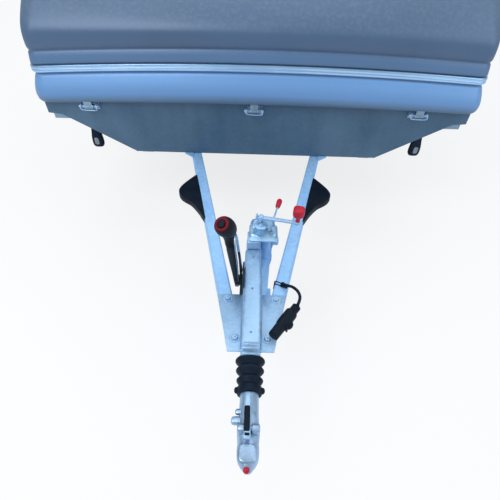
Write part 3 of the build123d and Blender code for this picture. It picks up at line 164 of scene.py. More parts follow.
# %% A finish that adds its own nodes
class Finish:
    """A material being wired up."""

    family = "ShaderNode"

    def __init__(self, name):
        self.material = bpy.data.materials.new(name)
        self.material.use_nodes = True
        self.tree = self.material.node_tree
        self.tree.nodes.clear()
        self.place = self.node("TexCoord", out="Object")

    def node(self, kind, inputs=None, out=0, **settings):
        """Add a node: settings first, then the values or wires of its sockets."""
        made = self.tree.nodes.new(kind if "Node" in kind else self.family + kind)
        for key, value in settings.items():
            setattr(made, key, value)
        for key, value in (inputs or {}).items():
            if isinstance(value, Wire):
                self.tree.links.new(value.socket, made.inputs[key])
            else:
                made.inputs[key].default_value = value
        return Wire(self, made.outputs[out])

    def noise(self, scale, detail=4, stretch=None):
        """Cloudy variation; stretch makes it longer or shorter along an axis."""
        place = self.place
        if stretch:
            place = self.node("Mapping", {"Vector": place, "Scale": stretch})
        return self.node("TexNoise", {"Vector": place, "Scale": scale, "Detail": detail})

    def band(self, wire, low, high):
        """Spread the part of a wire between low and high over 0 to 1."""
        return self.node(
            "MapRange", {"Value": wire, "From Min": low, "From Max": high}, clamp=True
        )

    def blend(self, factor, first, second):
        """Mix two colours."""
        def shade(value):
            return value if isinstance(value, Wire) else (*value, 1)
        return self.node(
            "Mix", {"Factor": factor, 6: shade(first), 7: shade(second)}, out=2, data_type="RGBA"
        )

    def edge(self, width):
        """1 on sharp edges and 0 on flats: how far a rounded normal leaves the real one."""
        rounded = self.node("Bevel", {"Radius": width}, samples=4)
        flat = self.node("NewGeometry", out="Normal")
        same = self.node("VectorMath", {0: rounded, 1: flat}, out="Value", operation="DOT_PRODUCT")
        return rounded, self.band(1 - same, 0.02, 0.25)

    def done(self, height=None, distance=0.001, strength=1.0, rounded=None, **sockets):
        """Finish with a Principled shader; height feeds a Bump node."""
        values = {key.replace("_", " "): value for key, value in sockets.items()}
        values = {
            key: (*value, 1) if isinstance(value, tuple) else value
            for key, value in values.items()
        }
        if height is not None:
            bump = {"Height": height, "Distance": distance, "Strength": strength}
            if rounded is not None:
                bump["Normal"] = rounded
            values["Normal"] = self.node("Bump", bump)
        elif rounded is not None:
            values["Normal"] = rounded
        shader = self.node("BsdfPrincipled", values)
        self.node_output(shader)
        return self.material

    def node_output(self, shader):
        out = self.tree.nodes.new("ShaderNodeOutputMaterial")
        self.tree.links.new(shader.socket, out.inputs["Surface"])


print("finish tools ready")

# %% [markdown]
# ## Zinc, the finish of nearly everything
# Hot-dip galvanised steel is bright and a little blue under open sky. The zinc freezes in
# crystals a centimetre or so across, each of which mirrors slightly differently, and it is
# duller along runs and brighter where edges are rubbed. Voronoi cells make the crystals,
# stretched noise the runs, and a Bevel node finds the edges and softens them.
# %% Galvanised zinc


def zinc(name, light, dark, rough=0.38, crystal=70, edge=0.0015, run=0.5, metal=0.9, spangle=0.42):
    """Galvanised steel: crystals, runs and rubbed edges."""
    f = Finish(name)
    cells = f.node("TexVoronoi", {"Vector": f.place, "Scale": crystal}, out="Color")
    cell = f.node("SeparateColor", {"Color": cells})
    runs = f.band(f.noise(9, 5, (1, 1, 0.18)), 0.36, 0.7)
    cloud = f.band(f.noise(3.5, 3), 0.35, 0.68)
    speck = f.band(f.noise(420, 2), 0.62, 0.74)
    shade = (cell * spangle + cloud * 0.38 + runs * run * 0.35).clamp()
    rounded, rub = f.edge(edge)
    body = f.blend(shade, dark, light)
    pale = tuple(min(1, c * 1.18 + 0.05) for c in light)
    body = f.blend((rub * 0.45).clamp(), body, pale)
    body = f.blend(speck * 0.25, body, tuple(c * 0.45 for c in dark))
    roughness = (cell * 0.16 + runs * 0.12 + speck * 0.2 + (rough - 0.1)).clamp()
    height = cell * 0.25 + f.noise(160, 3) * 0.5 + runs * 0.6
    return f.done(
        height=height, distance=0.0005, strength=0.35, rounded=rounded,
        Base_Color=body, Metallic=metal, Roughness=roughness,
    )


# painted light: the arm zinc's tones are raised above the other zinc to make up for the shade under
# the hood
zinc_arm_painted_light = zinc("zinc_arm_painted_light", (0.42, 0.70, 0.98), (0.26, 0.50, 0.86), 0.5, metal=0.25)
zinc_bright = zinc("zinc_bright", (0.46, 0.68, 0.92), (0.24, 0.41, 0.62), 0.4, 95, metal=0.55)
# painted shade: the front sheet is a much darker copy of the zinc, standing for the shade and dark
# reflections under the hood's lip
zinc_sheet_painted_shade = zinc("zinc_sheet_painted_shade", (0.105, 0.185, 0.28), (0.042, 0.095, 0.16), 0.42, 80, edge=0.001,
                  run=0.9, metal=0.35, spangle=0.2)
zinc_dark = zinc("zinc_dark", (0.11, 0.17, 0.22), (0.03, 0.05, 0.075), 0.5, 90)
zinc_frame = zinc("zinc_frame", (0.34, 0.45, 0.56), (0.18, 0.26, 0.35), 0.42)
print("zinc finishes", 5)

# %% [markdown]
# ## Castings
# The coupling head, the overrun body and the jockey's gearbox are castings: a sandy skin
# that was tumbled and plated, brighter on its corners, with painted shade in its hollows.
# Ambient Occlusion finds the hollows, and the finish darkens them there as shade.
# %% Cast and plated metal


def casting(name, light, dark, rough=0.42):
    """A plated casting: sandy skin, painted shade in the hollows, rubbed corners."""
    f = Finish(name)
    rounded, rub = f.edge(0.0022)
    open_sky = f.node("AmbientOcclusion", {"Distance": 0.012}, out="AO", samples=6)
    painted_hollow_shade = f.band(open_sky, 0.35, 0.95)
    cloud = f.band(f.noise(24, 4), 0.3, 0.7)
    sand = f.noise(900, 2)
    # painted shade: the hollows that Ambient Occlusion finds are darkened towards the dark tone,
    # mixed with cloudy variation
    body = f.blend((painted_hollow_shade * 0.62 + cloud * 0.38).clamp(), dark, light)
    body = f.blend((rub * 0.5).clamp(), body, tuple(min(1, c * 1.25 + 0.06) for c in light))
    roughness = (cloud * 0.14 + sand * 0.1 + (rough - 0.12)).clamp()
    return f.done(
        height=sand + cloud * 0.8, distance=0.0004, strength=0.4, rounded=rounded,
        Base_Color=body, Metallic=0.82, Roughness=roughness,
    )


cast_head = casting("cast_head", (0.42, 0.58, 0.78), (0.10, 0.155, 0.24))
cast_gear = casting("cast_gear", (0.42, 0.66, 0.9), (0.12, 0.2, 0.31), 0.38)
print("castings", 2)

# %% [markdown]
# ## Rubber, plastic and paint
# Rubber is never pure black: dust greys it on top and it shines a little where it is
# handled. Moulded plastic has a fine eroded grain. Powder coat has a faint orange peel and
# rubs through to grey on its corners. One function makes all three from a few numbers.
# %% Moulded and coated finishes


def moulded(name, shade, dust, rough, grain=700, grain_depth=0.0003, coat=0.0, worn=None,
            shine=0.08):
    """Rubber, plastic or paint: fine grain, dust in clouds, and worn edges."""
    f = Finish(name)
    rounded, rub = f.edge(0.001)
    cloud = f.band(f.noise(14, 5), 0.4, 0.75)
    fine = f.noise(grain, 3)
    body = f.blend(cloud * 0.4, shade, dust)
    rubbed = worn or tuple(min(1, c * 1.5 + 0.012) for c in shade)
    body = f.blend((rub * 0.6).clamp(), body, rubbed)
    return f.done(
        height=fine, distance=grain_depth, strength=0.5, rounded=rounded,
        Base_Color=body, Roughness=(cloud * 0.16 + fine * 0.12 + (rough - 0.12)).clamp(),
        Coat_Weight=coat, Specular_IOR_Level=shine,
    )


rubber = moulded("bellows_rubber", (0.006, 0.013, 0.026), (0.022, 0.034, 0.052), 0.48, 500)
plug_plastic = moulded("plug_plastic", (0.005, 0.010, 0.018), (0.014, 0.023, 0.036), 0.42, 1400)
chock_plastic = moulded("chock_plastic", (0.005, 0.009, 0.017), (0.014, 0.022, 0.036), 0.4, 900)
tyre_rubber = moulded("tyre_rubber", (0.010, 0.011, 0.012), (0.045, 0.042, 0.038), 0.66, 420)
black_coat = moulded("black_coat", (0.008, 0.010, 0.013), (0.02, 0.024, 0.03), 0.34, 260, 0.0002,
                     0.25, worn=(0.09, 0.1, 0.11))
grip_plastic = moulded("grip_plastic", (0.006, 0.008, 0.013), (0.03, 0.04, 0.055), 0.4, 1100)
red_knob = moulded("red_knob", (0.46, 0.008, 0.03), (0.55, 0.045, 0.075), 0.36, 600, 0.0002, 0.3)
red_dark = moulded("red_ring", (0.20, 0.006, 0.016), (0.28, 0.02, 0.03), 0.38, 800)
white_blank = moulded("white_blank", (0.72, 0.73, 0.72), (0.6, 0.6, 0.57), 0.32, 200, 0.0001, 0.3)
print("moulded finishes", 9)

# %% [markdown]
# ## The hood's gel coat
# The hood is laid up in a polished mould: a thick gel coat over glass fibre, with slow
# waves in its gloss, a fine metallic flake, and a film of dust that is thicker on what
# faces up. Its light and shade are painted into its colour: above the band it is a darker,
# shaded copy, and the rounded apron below it is a lighter, lit copy. Each finish has a few
# tones by level that paint the light and shade on the walls' curves, and painted shade on
# what faces down; the levels rise towards the sides as the moulding's own lines sag there.
# %% Gel coat
side_sag = 0.0336


def gel_coat(name, painted_level_tones, painted_underside_shade):
    """Moulded laminate: painted tones by level for light and shade, painted shade on what faces
    down, flake, slow waves, and dust on what faces up.
    """
    f = Finish(name)
    rounded, rub = f.edge(0.002)
    across = f.node("SeparateXYZ", {"Vector": f.place}, out="X")
    level = f.node("SeparateXYZ", {"Vector": f.place}, out="Z") + across * across * side_sag
    normal = f.node("NewGeometry", out="Normal")
    facing = f.node("SeparateXYZ", {"Vector": normal}, out="Z")
    up = f.band(facing, 0.2, 1.0)
    cloud = f.band(f.noise(2.2, 4), 0.25, 0.8)
    flake = f.node("SeparateColor", {"Color": f.node(
        "TexVoronoi", {"Vector": f.place, "Scale": 2600}, out="Color")})
    dust = f.band(f.noise(60, 4), 0.45, 0.8)
    # painted light and shade: the first tone is the base, and each later band of level blends in a
    # tone for the light or shade on that part of the wall
    body = painted_level_tones[0][2]
    for low, high, tone in painted_level_tones[1:]:
        body = f.blend(f.band(level, low, high), body, tone)
    # painted shade: what faces down is blended to the under tone
    body = f.blend(f.band(facing, -0.6, 0.16), painted_underside_shade, body)
    sparkle = tuple(c * 1.5 for c in painted_level_tones[0][2])
    body = f.blend((cloud * 0.18 + flake * 0.16).clamp(), body, sparkle)
    body = f.blend((up * dust * 0.2).clamp(), body, (0.42, 0.45, 0.47))
    waves = f.noise(5.5, 2)
    return f.done(
        height=waves, distance=0.003, strength=0.2, rounded=rounded,
        Base_Color=body, Metallic=0.15, Roughness=(cloud * 0.08 + dust * up * 0.2 + 0.40).clamp(),
        Coat_Weight=0.12, Coat_Roughness=0.25,
    )


# painted shade: the hood above the band is a darker, shaded copy of the gel coat; its tones paint a
# lit strip over the band, a shaded strip above it and a middle tone higher up, and a dark tone on
# what faces down
hood_painted_shade = gel_coat("hood_painted_shade", [
    (0, 0, (0.088, 0.168, 0.305)), (1.024, 1.050, (0.060, 0.104, 0.185)),
    (1.08, 1.24, (0.085, 0.138, 0.215)),
], (0.05, 0.085, 0.14))
# painted light: the apron is a lighter, lit copy of the gel coat; its tones paint shade at the lip
# and a highlight on the upper bulge, and a dark tone on what faces down
hood_painted_lit = gel_coat("hood_painted_lit", [
    (0, 0, (0.085, 0.150, 0.240)), (0.806, 0.850, (0.140, 0.300, 0.590)),
    (0.85, 0.905, (0.170, 0.370, 0.710)),
], (0.075, 0.135, 0.215))
print("gel coats", 2)

# %% [markdown]
# ## Trim, floor sheet, lenses and polished steel
# The band is an anodised strip, brushed along its length. The floor is ribbed sheet, with
# scuffs across the wheel tracks. Lens plastic is clear or dyed with a faint moulded prism,
# and the strut rods are ground and polished.
# %% Brushed trim, scuffed floor, lenses and chrome


def brushed(name, light, dark, rough, stretch, scratch=0.3):
    """Aluminium with a grain along one axis, scratches and soft clouds."""
    f = Finish(name)
    rounded, rub = f.edge(0.0012)
    grain = f.noise(40, 3, stretch)
    cloud = f.band(f.noise(6, 4), 0.35, 0.7)
    scuff = f.band(f.noise(11, 6, (1, 0.25, 1)), 0.58, 0.7)
    body = f.blend((grain * 0.5 + cloud * 0.5).clamp(), dark, light)
    body = f.blend(scuff * scratch, body, tuple(c * 0.55 for c in dark))
    return f.done(
        height=grain, distance=0.0003, strength=0.25, rounded=rounded, Base_Color=body,
        Metallic=0.85, Roughness=(grain * 0.12 + scuff * 0.15 + (rough - 0.06)).clamp(),
    )


band_trim = brushed("band_trim", (0.52, 0.74, 0.98), (0.36, 0.58, 0.86), 0.3, (0.2, 12, 12), 0.06)
floor_sheet = brushed("floor_sheet", (0.55, 0.58, 0.6), (0.36, 0.39, 0.42), 0.4, (12, 0.3, 12))
polished = brushed("polished_rod", (0.85, 0.87, 0.9), (0.7, 0.73, 0.76), 0.14, (12, 12, 0.4), 0.0)


def lens(name, shade, clear):
    """Lamp plastic: a fine prism pattern under a smooth coat."""
    f = Finish(name)
    prism = f.node("TexVoronoi", {"Vector": f.place, "Scale": 260})
    cloud = f.band(f.noise(40, 3), 0.4, 0.7)
    body = f.blend((prism * 0.8 + cloud * 0.2).clamp(), tuple(c * 0.45 for c in shade), shade)
    return f.done(
        height=prism, distance=0.0008, strength=0.6, Base_Color=body,
        Roughness=(cloud * 0.1 + 0.12).clamp(), Transmission_Weight=clear, Coat_Weight=0.6,
    )


clear_lens = lens("clear_lens", (0.30, 0.34, 0.40), 0.2)
red_lens = lens("red_lens", (0.5, 0.012, 0.012), 0.1)
amber_lens = lens("amber_lens", (0.75, 0.22, 0.01), 0.1)
print("trim and lens finishes", 6)

# %% [markdown]
# ## Dress the CAD nodes
# A node whose shape is already right keeps its mesh and only gets its finish. The list
# gives each finish the nodes that wear it; the others are replaced by the pieces below.
# %% Give the shown nodes their finish
finish_of = {
    zinc_arm_painted_light: ["drawbar_arms", "jockey_inner_tube", "jockey_fork", "draw_tube"],
    zinc_frame: ["chassis_rails", "cross_members", "bed_frame", "axle_tubes", "underfloor_brackets",
                 "prop_stand_left", "prop_stand_right"],
    chock_plastic: ["mudguards"],
    black_coat: ["trailing_arms", "tail_bar", "strut_tube_left", "strut_tube_right"],
    floor_sheet: ["deck", "ramp_left", "ramp_right"],
    polished: ["strut_rod_left", "strut_rod_right"],
}
for finish, names in finish_of.items():
    for name in names:
        nodes[name].data.materials.clear()
        nodes[name].data.materials.append(finish)
print("dressed", sum(len(names) for names in finish_of.values()), "of", len(nodes), "nodes")

# %% [markdown]
# ## Shapes in workshop millimetres
# Castings, grips and bellows are long things whose section changes along their length, like
# slices of a loaf. So a piece is written as a row of rings, and one helper stretches a skin
# over them. A lathe part is the same with round rings, and a bar is the same along a bent
# path. Corners stay in millimetres from the nose until the piece is made.
# %% Rings and the skin over them
ACROSS, BACK, UP = Vector((1, 0, 0)), Vector((0, 1, 0)), Vector((0, 0, 1))


def ring(centre, wide, high, across=ACROSS, up=UP, corner=2.0, steps=32):
    """A closed ring in the plane of across and up: corner 2 is an ellipse, more is squarer."""
    points = []
    for step in range(steps):
        turn = 2 * math.pi * (step + 0.5) / steps
        run, rise = math.cos(turn), math.sin(turn)
        points.append(
            Vector(centre)
            + across * wide * math.copysign(abs(run) ** (2 / corner), run)
            + up * high * math.copysign(abs(rise) ** (2 / corner), rise)
        )
    return points


def skin(rings):
    """A closed skin over rings that have equal numbers of points."""
    steps, last = len(rings[0]), len(rings) - 1
    faces = [
        (row * steps + step, row * steps + (step + 1) % steps,
         (row + 1) * steps + (step + 1) % steps, (row + 1) * steps + step)
        for row in range(last) for step in range(steps)
    ]
    faces += [tuple(reversed(range(steps))), tuple(range(last * steps, (last + 1) * steps))]
    return [point for one in rings for point in one], faces


def eased(points, per=5):
    """A smooth line through points, which may have any number of values each."""
    points = [Vector(point) for point in points]
    line = []
    for index in range(len(points) - 1):
        before, start = points[max(index - 1, 0)], points[index]
        end, after = points[index + 1], points[min(index + 2, len(points) - 1)]
        for step in range(per):
            t = step / per
            line.append(0.5 * (
                2 * start + (end - before) * t + (2 * before - 5 * start + 4 * end - after) * t ** 2
                + (3 * start - before - 3 * end + after) * t ** 3
            ))
    return line + [points[-1]]


def at_level(plan, level):
    """The points of a plan, each (across, back), at a height."""
    return [Vector((x, back, level)) for x, back in plan]


def on_circle(radius, degrees, across=0):
    """A place round an axis that runs across the trailer."""
    turn = math.radians(degrees)
    return Vector((across, radius * math.cos(turn), radius * math.sin(turn)))


def turned(profile, base, axis=UP, steps=36):
    """A lathe part: profile holds (distance along the axis, radius)."""
    axis = Vector(axis).normalized()
    side = axis.cross(UP if abs(axis.z) < 0.9 else BACK).normalized()
    front = side.cross(axis)
    return skin([
        ring(Vector(base) + axis * along, radius, radius, side, front, steps=steps)
        for along, radius in profile
    ])


def boss(start, end, radius, base, axis=UP, steps=36, chamfer=1):
    """A round or many-sided boss with chamfered ends, along an axis from a base."""
    return turned(
        [(start, radius - chamfer), (start + chamfer, radius), (end - chamfer, radius),
         (end, radius - chamfer)],
        base, axis, steps,
    )


def swept(path, sizes, corner=2.0, steps=16, up=UP):
    """A bar along a path; sizes holds its half width and half height at each point."""
    path = [Vector(point) for point in path]
    rings = []
    for index, point in enumerate(path):
        ahead = (path[min(index + 1, len(path) - 1)] - path[max(index - 1, 0)]).normalized()
        side = ahead.cross(up).normalized()
        wide, high = sizes if isinstance(sizes, tuple) else sizes[index]
        rings.append(ring(point, wide, high, side, side.cross(ahead), corner, steps))
    return skin(rings)


def joined(*shapes):
    """Several shapes as one."""
    corners, faces = [], []
    for some_corners, some_faces in shapes:
        start = len(corners)
        corners += some_corners
        faces += [tuple(start + index for index in face) for face in some_faces]
    return corners, faces


def mirrored(shape):
    """The same shape on the other side of the trailer."""
    corners, faces = shape
    return [Vector((-c[0], c[1], c[2])) for c in corners], [tuple(reversed(face)) for face in faces]


def pair(shape):
    """The shape and its mirror image."""
    return joined(shape, mirrored(shape))


def moved(shape, by):
    """The shape moved by some millimetres."""
    return [Vector(corner) + Vector(by) for corner in shape[0]], shape[1]


def turned_about(shape, centre, axis, degrees):
    """The shape turned about an axis through a centre."""
    centre = Vector(centre)
    turn = Matrix.Rotation(math.radians(degrees), 3, axis)
    return [turn @ (Vector(c) - centre) + centre for c in shape[0]], shape[1]


print("ring helpers ready")

# %% Plates and blocks with rounded edges


def taken(made):
    """The corners and faces of a bmesh, which is freed."""
    made.verts.index_update()
    shape = [v.co.copy() for v in made.verts], [tuple(v.index for v in f.verts) for f in made.faces]
    made.free()
    return shape


def eased_edges(made, round_by, rounds=2):
    """Round every edge of a bmesh that turns by more than a slight angle."""
    slight = math.radians(25)
    bmesh.ops.recalc_face_normals(made, faces=made.faces)
    edges = [e for e in made.edges if e.is_manifold and e.calc_face_angle(0) > slight]
    bmesh.ops.bevel(made, geom=edges, offset=round_by, segments=rounds, affect="EDGES", profile=0.5)


def block(low, high, round_by=2.0):
    """A box with rounded edges between two corners."""
    low, high = Vector(low), Vector(high)
    made = bmesh.new()
    bmesh.ops.create_cube(made, size=1)
    bmesh.ops.scale(made, vec=high - low, verts=made.verts)
    bmesh.ops.translate(made, vec=(low + high) / 2, verts=made.verts)
    eased_edges(made, round_by)
    return taken(made)


def plate(outline, depth, round_by=1.0, rounds=2):
    """A plate: a flat outline pushed along depth, with its edges rounded."""
    made = bmesh.new()
    face = made.faces.new([made.verts.new(point) for point in outline])
    pushed = bmesh.ops.extrude_face_region(made, geom=[face])
    far = [item for item in pushed["geom"] if isinstance(item, bmesh.types.BMVert)]
    bmesh.ops.translate(made, vec=depth, verts=far)
    eased_edges(made, round_by, rounds)
    return taken(made)


print("plate helpers ready")

# %% A piece is a shape with a finish and a body to ride on


def plain_mesh(name, shape, scale=True):
    """A mesh from a shape, its doubles merged and its faces outwards."""
    corners, faces = shape
    mesh = bpy.data.meshes.new(name)
    mesh.from_pydata([at(*c) if scale else c for c in corners], [], faces)
    made = bmesh.new()
    made.from_mesh(mesh)
    bmesh.ops.remove_doubles(made, verts=made.verts, dist=2e-5 if scale else 0.02)
    bmesh.ops.recalc_face_normals(made, faces=made.faces)
    made.to_mesh(mesh)
    made.free()
    return mesh


def carved(shape, cutter):
    """A shape with another cut out of it."""
    body, tool = (
        placed("carving", plain_mesh("carving", one, scale=False)) for one in (shape, cutter)
    )
    cut = body.modifiers.new("cut", "BOOLEAN")
    cut.operation, cut.object, cut.solver = "DIFFERENCE", tool, "EXACT"
    result = body.evaluated_get(bpy.context.evaluated_depsgraph_get())
    mesh = bpy.data.meshes.new_from_object(result)
    left = [v.co.copy() for v in mesh.vertices], [tuple(p.vertices) for p in mesh.polygons]
    for one in (body, tool):
        bpy.data.objects.remove(one)
    bpy.data.meshes.remove(mesh)
    return left


def piece(name, shape, finish, body, replaces=(), sharp=32):
    """A finished piece that rides on a body, smooth but for its sharp edges."""
    mesh = plain_mesh(name, shape)
    mesh.shade_smooth()
    mesh.set_sharp_from_angle(angle=math.radians(sharp))
    mesh.materials.append(finish)
    made = placed(name, mesh)
    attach(made, body)
    if replaces:
        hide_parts(*replaces)
    print(name, len(mesh.polygons), "faces")
    return made


# %% [markdown]
# ## The bellows
# A rubber sleeve keeps water out of the sliding tube. It is moulded in one piece with three
# soft folds and a thick cuff, and it is round all the way, so it is turned like a lathe
# part from a drawn outline.
# %% Turn the bellows
draw_height = 460
bellows_line = eased([
    (214, 30), (215, 36.5), (218, 38.5), (226, 39), (236, 38.5), (240.5, 36), (244, 33.4),
    (250, 37), (256, 41), (259, 42.2), (262, 41), (267, 35.5), (273, 31.2), (279, 35), (287, 42.5),
    (291.5, 45.2), (295.5, 43.5), (301, 38.5), (307.5, 34), (313, 38.5), (320, 46), (324, 48.4),
    (328, 46.5), (332, 39), (336, 31),
])
cuff_lug = [(24, 9), (30, 10), (38, 10.4), (43, 9.4), (46.5, 6), (47.6, 0.3)]
bellows = piece(
    "bellows_folds",
    joined(
        turned(bellows_line, (0, 0, draw_height), BACK, steps=56),
        *[turned(cuff_lug, (0, 228, draw_height + 2), side * ACROSS) for side in (-1, 1)],
    ),
    rubber, "chassis", ["bellows"], sharp=75,
)
at(0, 336, 460)
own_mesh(bellows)

# %% [markdown]
# ## The coupling head
# The head is a casting that closes over a 50 mm ball. It narrows to a blunt nose, has a flat
# field on its back, two ears that hold the handle's pin, and two bolt bosses on its left
# cheek. Eighteen sections give its skin, and the socket for the ball is cut from below.
# %% Cast the coupling head
ear_pin = Vector((0, 107, 496))
ball_radius = 25.3
head_sections = [
    (7, 7, 461, 447), (10, 10.5, 466, 441), (14.5, 13.5, 469, 433), (20, 17, 473, 424),
    (26, 21.5, 477, 413), (36, 27, 480, 403), (47, 30.6, 482, 398), (66, 31.5, 483, 398),
    (80, 30.5, 482, 400),
    (92, 31.5, 482, 402), (104, 32.5, 484, 405), (118, 32.5, 486, 409), (130, 31, 486, 414),
    (142, 30, 486, 420), (160, 29, 487, 428), (180, 28.8, 488.5, 431.5), (200, 28.8, 488.8, 431.2),
    (222, 28.8, 488.8, 431.2),
]
head_skin = skin([
    ring((0, back, (top + low) / 2), wide, (top - low) / 2,
         corner=2.9 if back < 150 else 2.2, steps=48)
    for back, wide, top, low in eased(head_sections, 3)
])
dome = [
    (ball_radius * math.sin(turn), max(0.05, ball_radius * math.cos(turn)))
    for turn in (math.radians(degrees) for degrees in range(10, 91, 10))
]
socket = turned([(-60, ball_radius), (0, ball_radius)] + dome, (0, 48, 430), UP, steps=40)
ear = joined(
    turned([(9.6, 11), (10.6, 12.6), (27, 13), (29.4, 12), (30.4, 9.5), (31.6, 9), (32, 0.3)],
           ear_pin, ACROSS, 32),
    block((10.4, 94.5, 470), (28.8, 119.5, 497), 3.5),
)
cheek_bolt = joined(
    turned([(22, 12.5), (42, 12), (48, 10.5), (51, 6), (51.6, 0.3)], (0, 137, 466), -ACROSS, 28),
    turned([(20, 9), (33, 9), (38, 7.5), (40.5, 4), (41, 0.3)], (0, 161, 468), -ACROSS, 24),
)
field_corners, field_faces = skin([
    ring((0, 0, z), wide, long, ACROSS, BACK, 3.6, 32)
    for wide, long, z in ((27, 25, -4), (23.5, 22.5, -0.4), (21.5, 21, 1), (19.5, 19, 1.4))
])
field_slope = 0.06
flat_field = [
    Vector((x - 2, y + 50, z + 481.2 + field_slope * y)) for x, y, z in field_corners
], field_faces
piece(
    "coupling_casting",
    joined(carved(head_skin, socket), pair(ear), cheek_bolt, flat_field),
    cast_head, "coupling", ["coupling_head"],
)
piece(
    "nose_button",
    turned([(-6, 9), (2.5, 9), (5, 8.2), (7.2, 6), (8.6, 3), (9, 0.2)], (-3, 13.5, 464.5),
           (0, -0.5, 0.87)),
    red_knob, "coupling", ["coupling_button"],
)

# %% [markdown]
# ## The coupling handle
# A pressed steel channel lies along the head and carries a soft black strip that the thumb
# pushes. Its front lip curls over the pin. The channel is swept through rounded sections,
# and the strip sits in it a little proud.
# %% Press the handle
handle_sections = [
    (77, 5, 498, 503), (79, 8.6, 495, 507), (83, 9.8, 493, 510), (91, 10, 492.5, 512),
    (120, 10, 492, 512), (182, 10, 491.5, 511), (197, 9.8, 491, 509), (204, 8.4, 491.5, 506.5),
    (207.5, 4.6, 493.5, 503),
]
piece(
    "handle_channel",
    joined(
        skin([ring((-4, back, (low + top) / 2), wide, (top - low) / 2, corner=4.2, steps=32)
              for back, wide, low, top in eased(handle_sections, 3)]),
        turned([(-9, 3.2), (9, 3.2)], (-4, 79.5, 505), ACROSS, 16),
        boss(-11.5, 11.5, 7, ear_pin, ACROSS, 20, 0.5),
    ),
    zinc_bright, "coupling_lever", ["coupling_handle"],
)
strip_sections = [
    (95, 5.4, 3.2), (97, 7.4, 4.2), (103, 7.9, 4.6), (156, 7.9, 4.6), (161, 7.4, 4.1),
    (163, 5.4, 3),
]
piece(
    "handle_strip",
    joined(
        skin([ring((-5.2, back, 510.8), wide * 1.08, high, corner=4, steps=24)
              for back, wide, high in strip_sections]),
        block((-11, 84, 505), (2.5, 91.5, 512.8), 1.5),
    ),
    plug_plastic, "coupling_lever",
)

# %% [markdown]
# ## The handbrake
# A pressed lever rises from its pin and ends in a fat moulded grip, which faces the person
# who pulls it, with a red collar and a black release button. The grip is a short barrel
# that leans towards the viewer, and a neck runs down from it into the lever.
# %% Mould the grip
grip_axis = Vector((-0.30, -0.50, 0.81)).normalized()
grip_base = Vector((-79, 556, 829))
grip_barrel = turned(eased([
    (-38, 0.4), (-37, 8), (-30, 15.5), (-18, 21.5), (-5, 26.5), (8, 29.4), (22, 30.4), (34, 29.4),
    (43, 27), (49, 23.8), (51.5, 20.5), (51.8, 0.3),
], 3), grip_base, grip_axis, 44)
grip_neck = swept(
    [(-75.5, 568, 748), (-76.5, 567, 762), (-77.5, 568, 778), (-79, 568, 798), (-80, 563, 820),
     (-81, 558, 840)],
    [(12.8, 12.2), (14.8, 14.2), (15.6, 15.4), (20, 19.5), (24, 23), (22, 20)], 2.3, 28, BACK,
)
piece(
    "brake_grip_barrel", joined(grip_barrel, grip_neck), grip_plastic, "handbrake",
    ["brake_grip"], sharp=50,
)
collar_line = [
    (49, 13.6), (52.8, 13.8), (54.2, 15), (54.6, 17.4), (53.6, 19.6), (51, 21.4), (48, 22.4),
    (46.5, 20),
]
piece(
    "brake_collar", turned(collar_line, grip_base, grip_axis, 40), red_dark, "handbrake",
    sharp=60,
)
button_line = [(48, 11.8), (54.5, 11.8), (57, 10.8), (58.6, 8), (59.2, 3.5), (59.3, 0.2)]
piece(
    "brake_push_button", turned(button_line, grip_base, grip_axis, 32), grip_plastic, "handbrake",
    ["brake_button"],
)

# %% Press the lever, its link and its toothed sector
brake_pin = Vector((-47, 600, 545))
lever_path = [
    (-57, 612, 500), (-57, 606, 520), (-58, 600, 545), (-62, 592, 600), (-69, 582, 670),
    (-74.5, 571, 736), (-76, 568, 766),
]
lever_widths = [(7.5, 6), (8, 9), (9, 13), (10.5, 12.5), (12, 11.5), (13, 11), (13, 11)]
piece(
    "brake_lever_pressing",
    joined(
        swept(lever_path, lever_widths, 4.5, 24, BACK),
        swept([(-41, 612, 530), (-42, 600, 585), (-44, 588, 645), (-47, 576, 710)],
              [(4, 15), (4, 13), (4, 8), (3.5, 3)], 5, 16, BACK),
        boss(-14, 11, 20, brake_pin, ACROSS, 36), boss(-17, 13, 8, brake_pin, ACROSS, 6),
    ),
    black_coat, "handbrake", ["brake_lever"],
)
piece(
    "brake_spring_link",
    joined(
        swept([(-57, 556, 808), (-54, 562, 788), (-47, 586, 690), (-42, 612, 604),
               (-41.5, 620, 574)], [(4, 4), (4.6, 3), (4.6, 3), (4.6, 3), (4.6, 4)], 5, 16, BACK),
        swept([(-50.5, 594, 560), (-53, 584, 640), (-57, 574, 705), (-60, 566, 760)], (0.9, 14), 4,
              12, BACK),
        turned([(-6, 7.5), (-5, 8.5), (3, 8.5), (4, 7)], (-42, 620, 572), ACROSS, 6),
    ),
    zinc_bright, "handbrake",
)
sector_centre = brake_pin + Vector((11, 0, 0))
first_tooth, tooth_step = 31, 4.2
sector_outline = []
for tooth in range(28):
    for share, reach in ((0, 60), (0.28, 60), (0.5, 66), (0.78, 66)):
        turn = math.radians(first_tooth + (tooth + share) * tooth_step)
        sector_outline.append(
            sector_centre + Vector((0, -reach * math.cos(turn), reach * math.sin(turn)))
        )
sector_outline += [sector_centre + Vector((0, back, -44)) for back in (34, -34)]
piece(
    "brake_sector",
    joined(
        plate(sector_outline, Vector((4.5, 0, 0)), 0.5, 1),
        *[boss(-6, 6, 9, (-32, back, 520), ACROSS, 6) for back in (634, 572)],
        block((-46, 560, 500.3), (-31, 640, 506.5), 1.5),
    ),
    zinc_dark, "chassis", ["brake_bracket"],
)

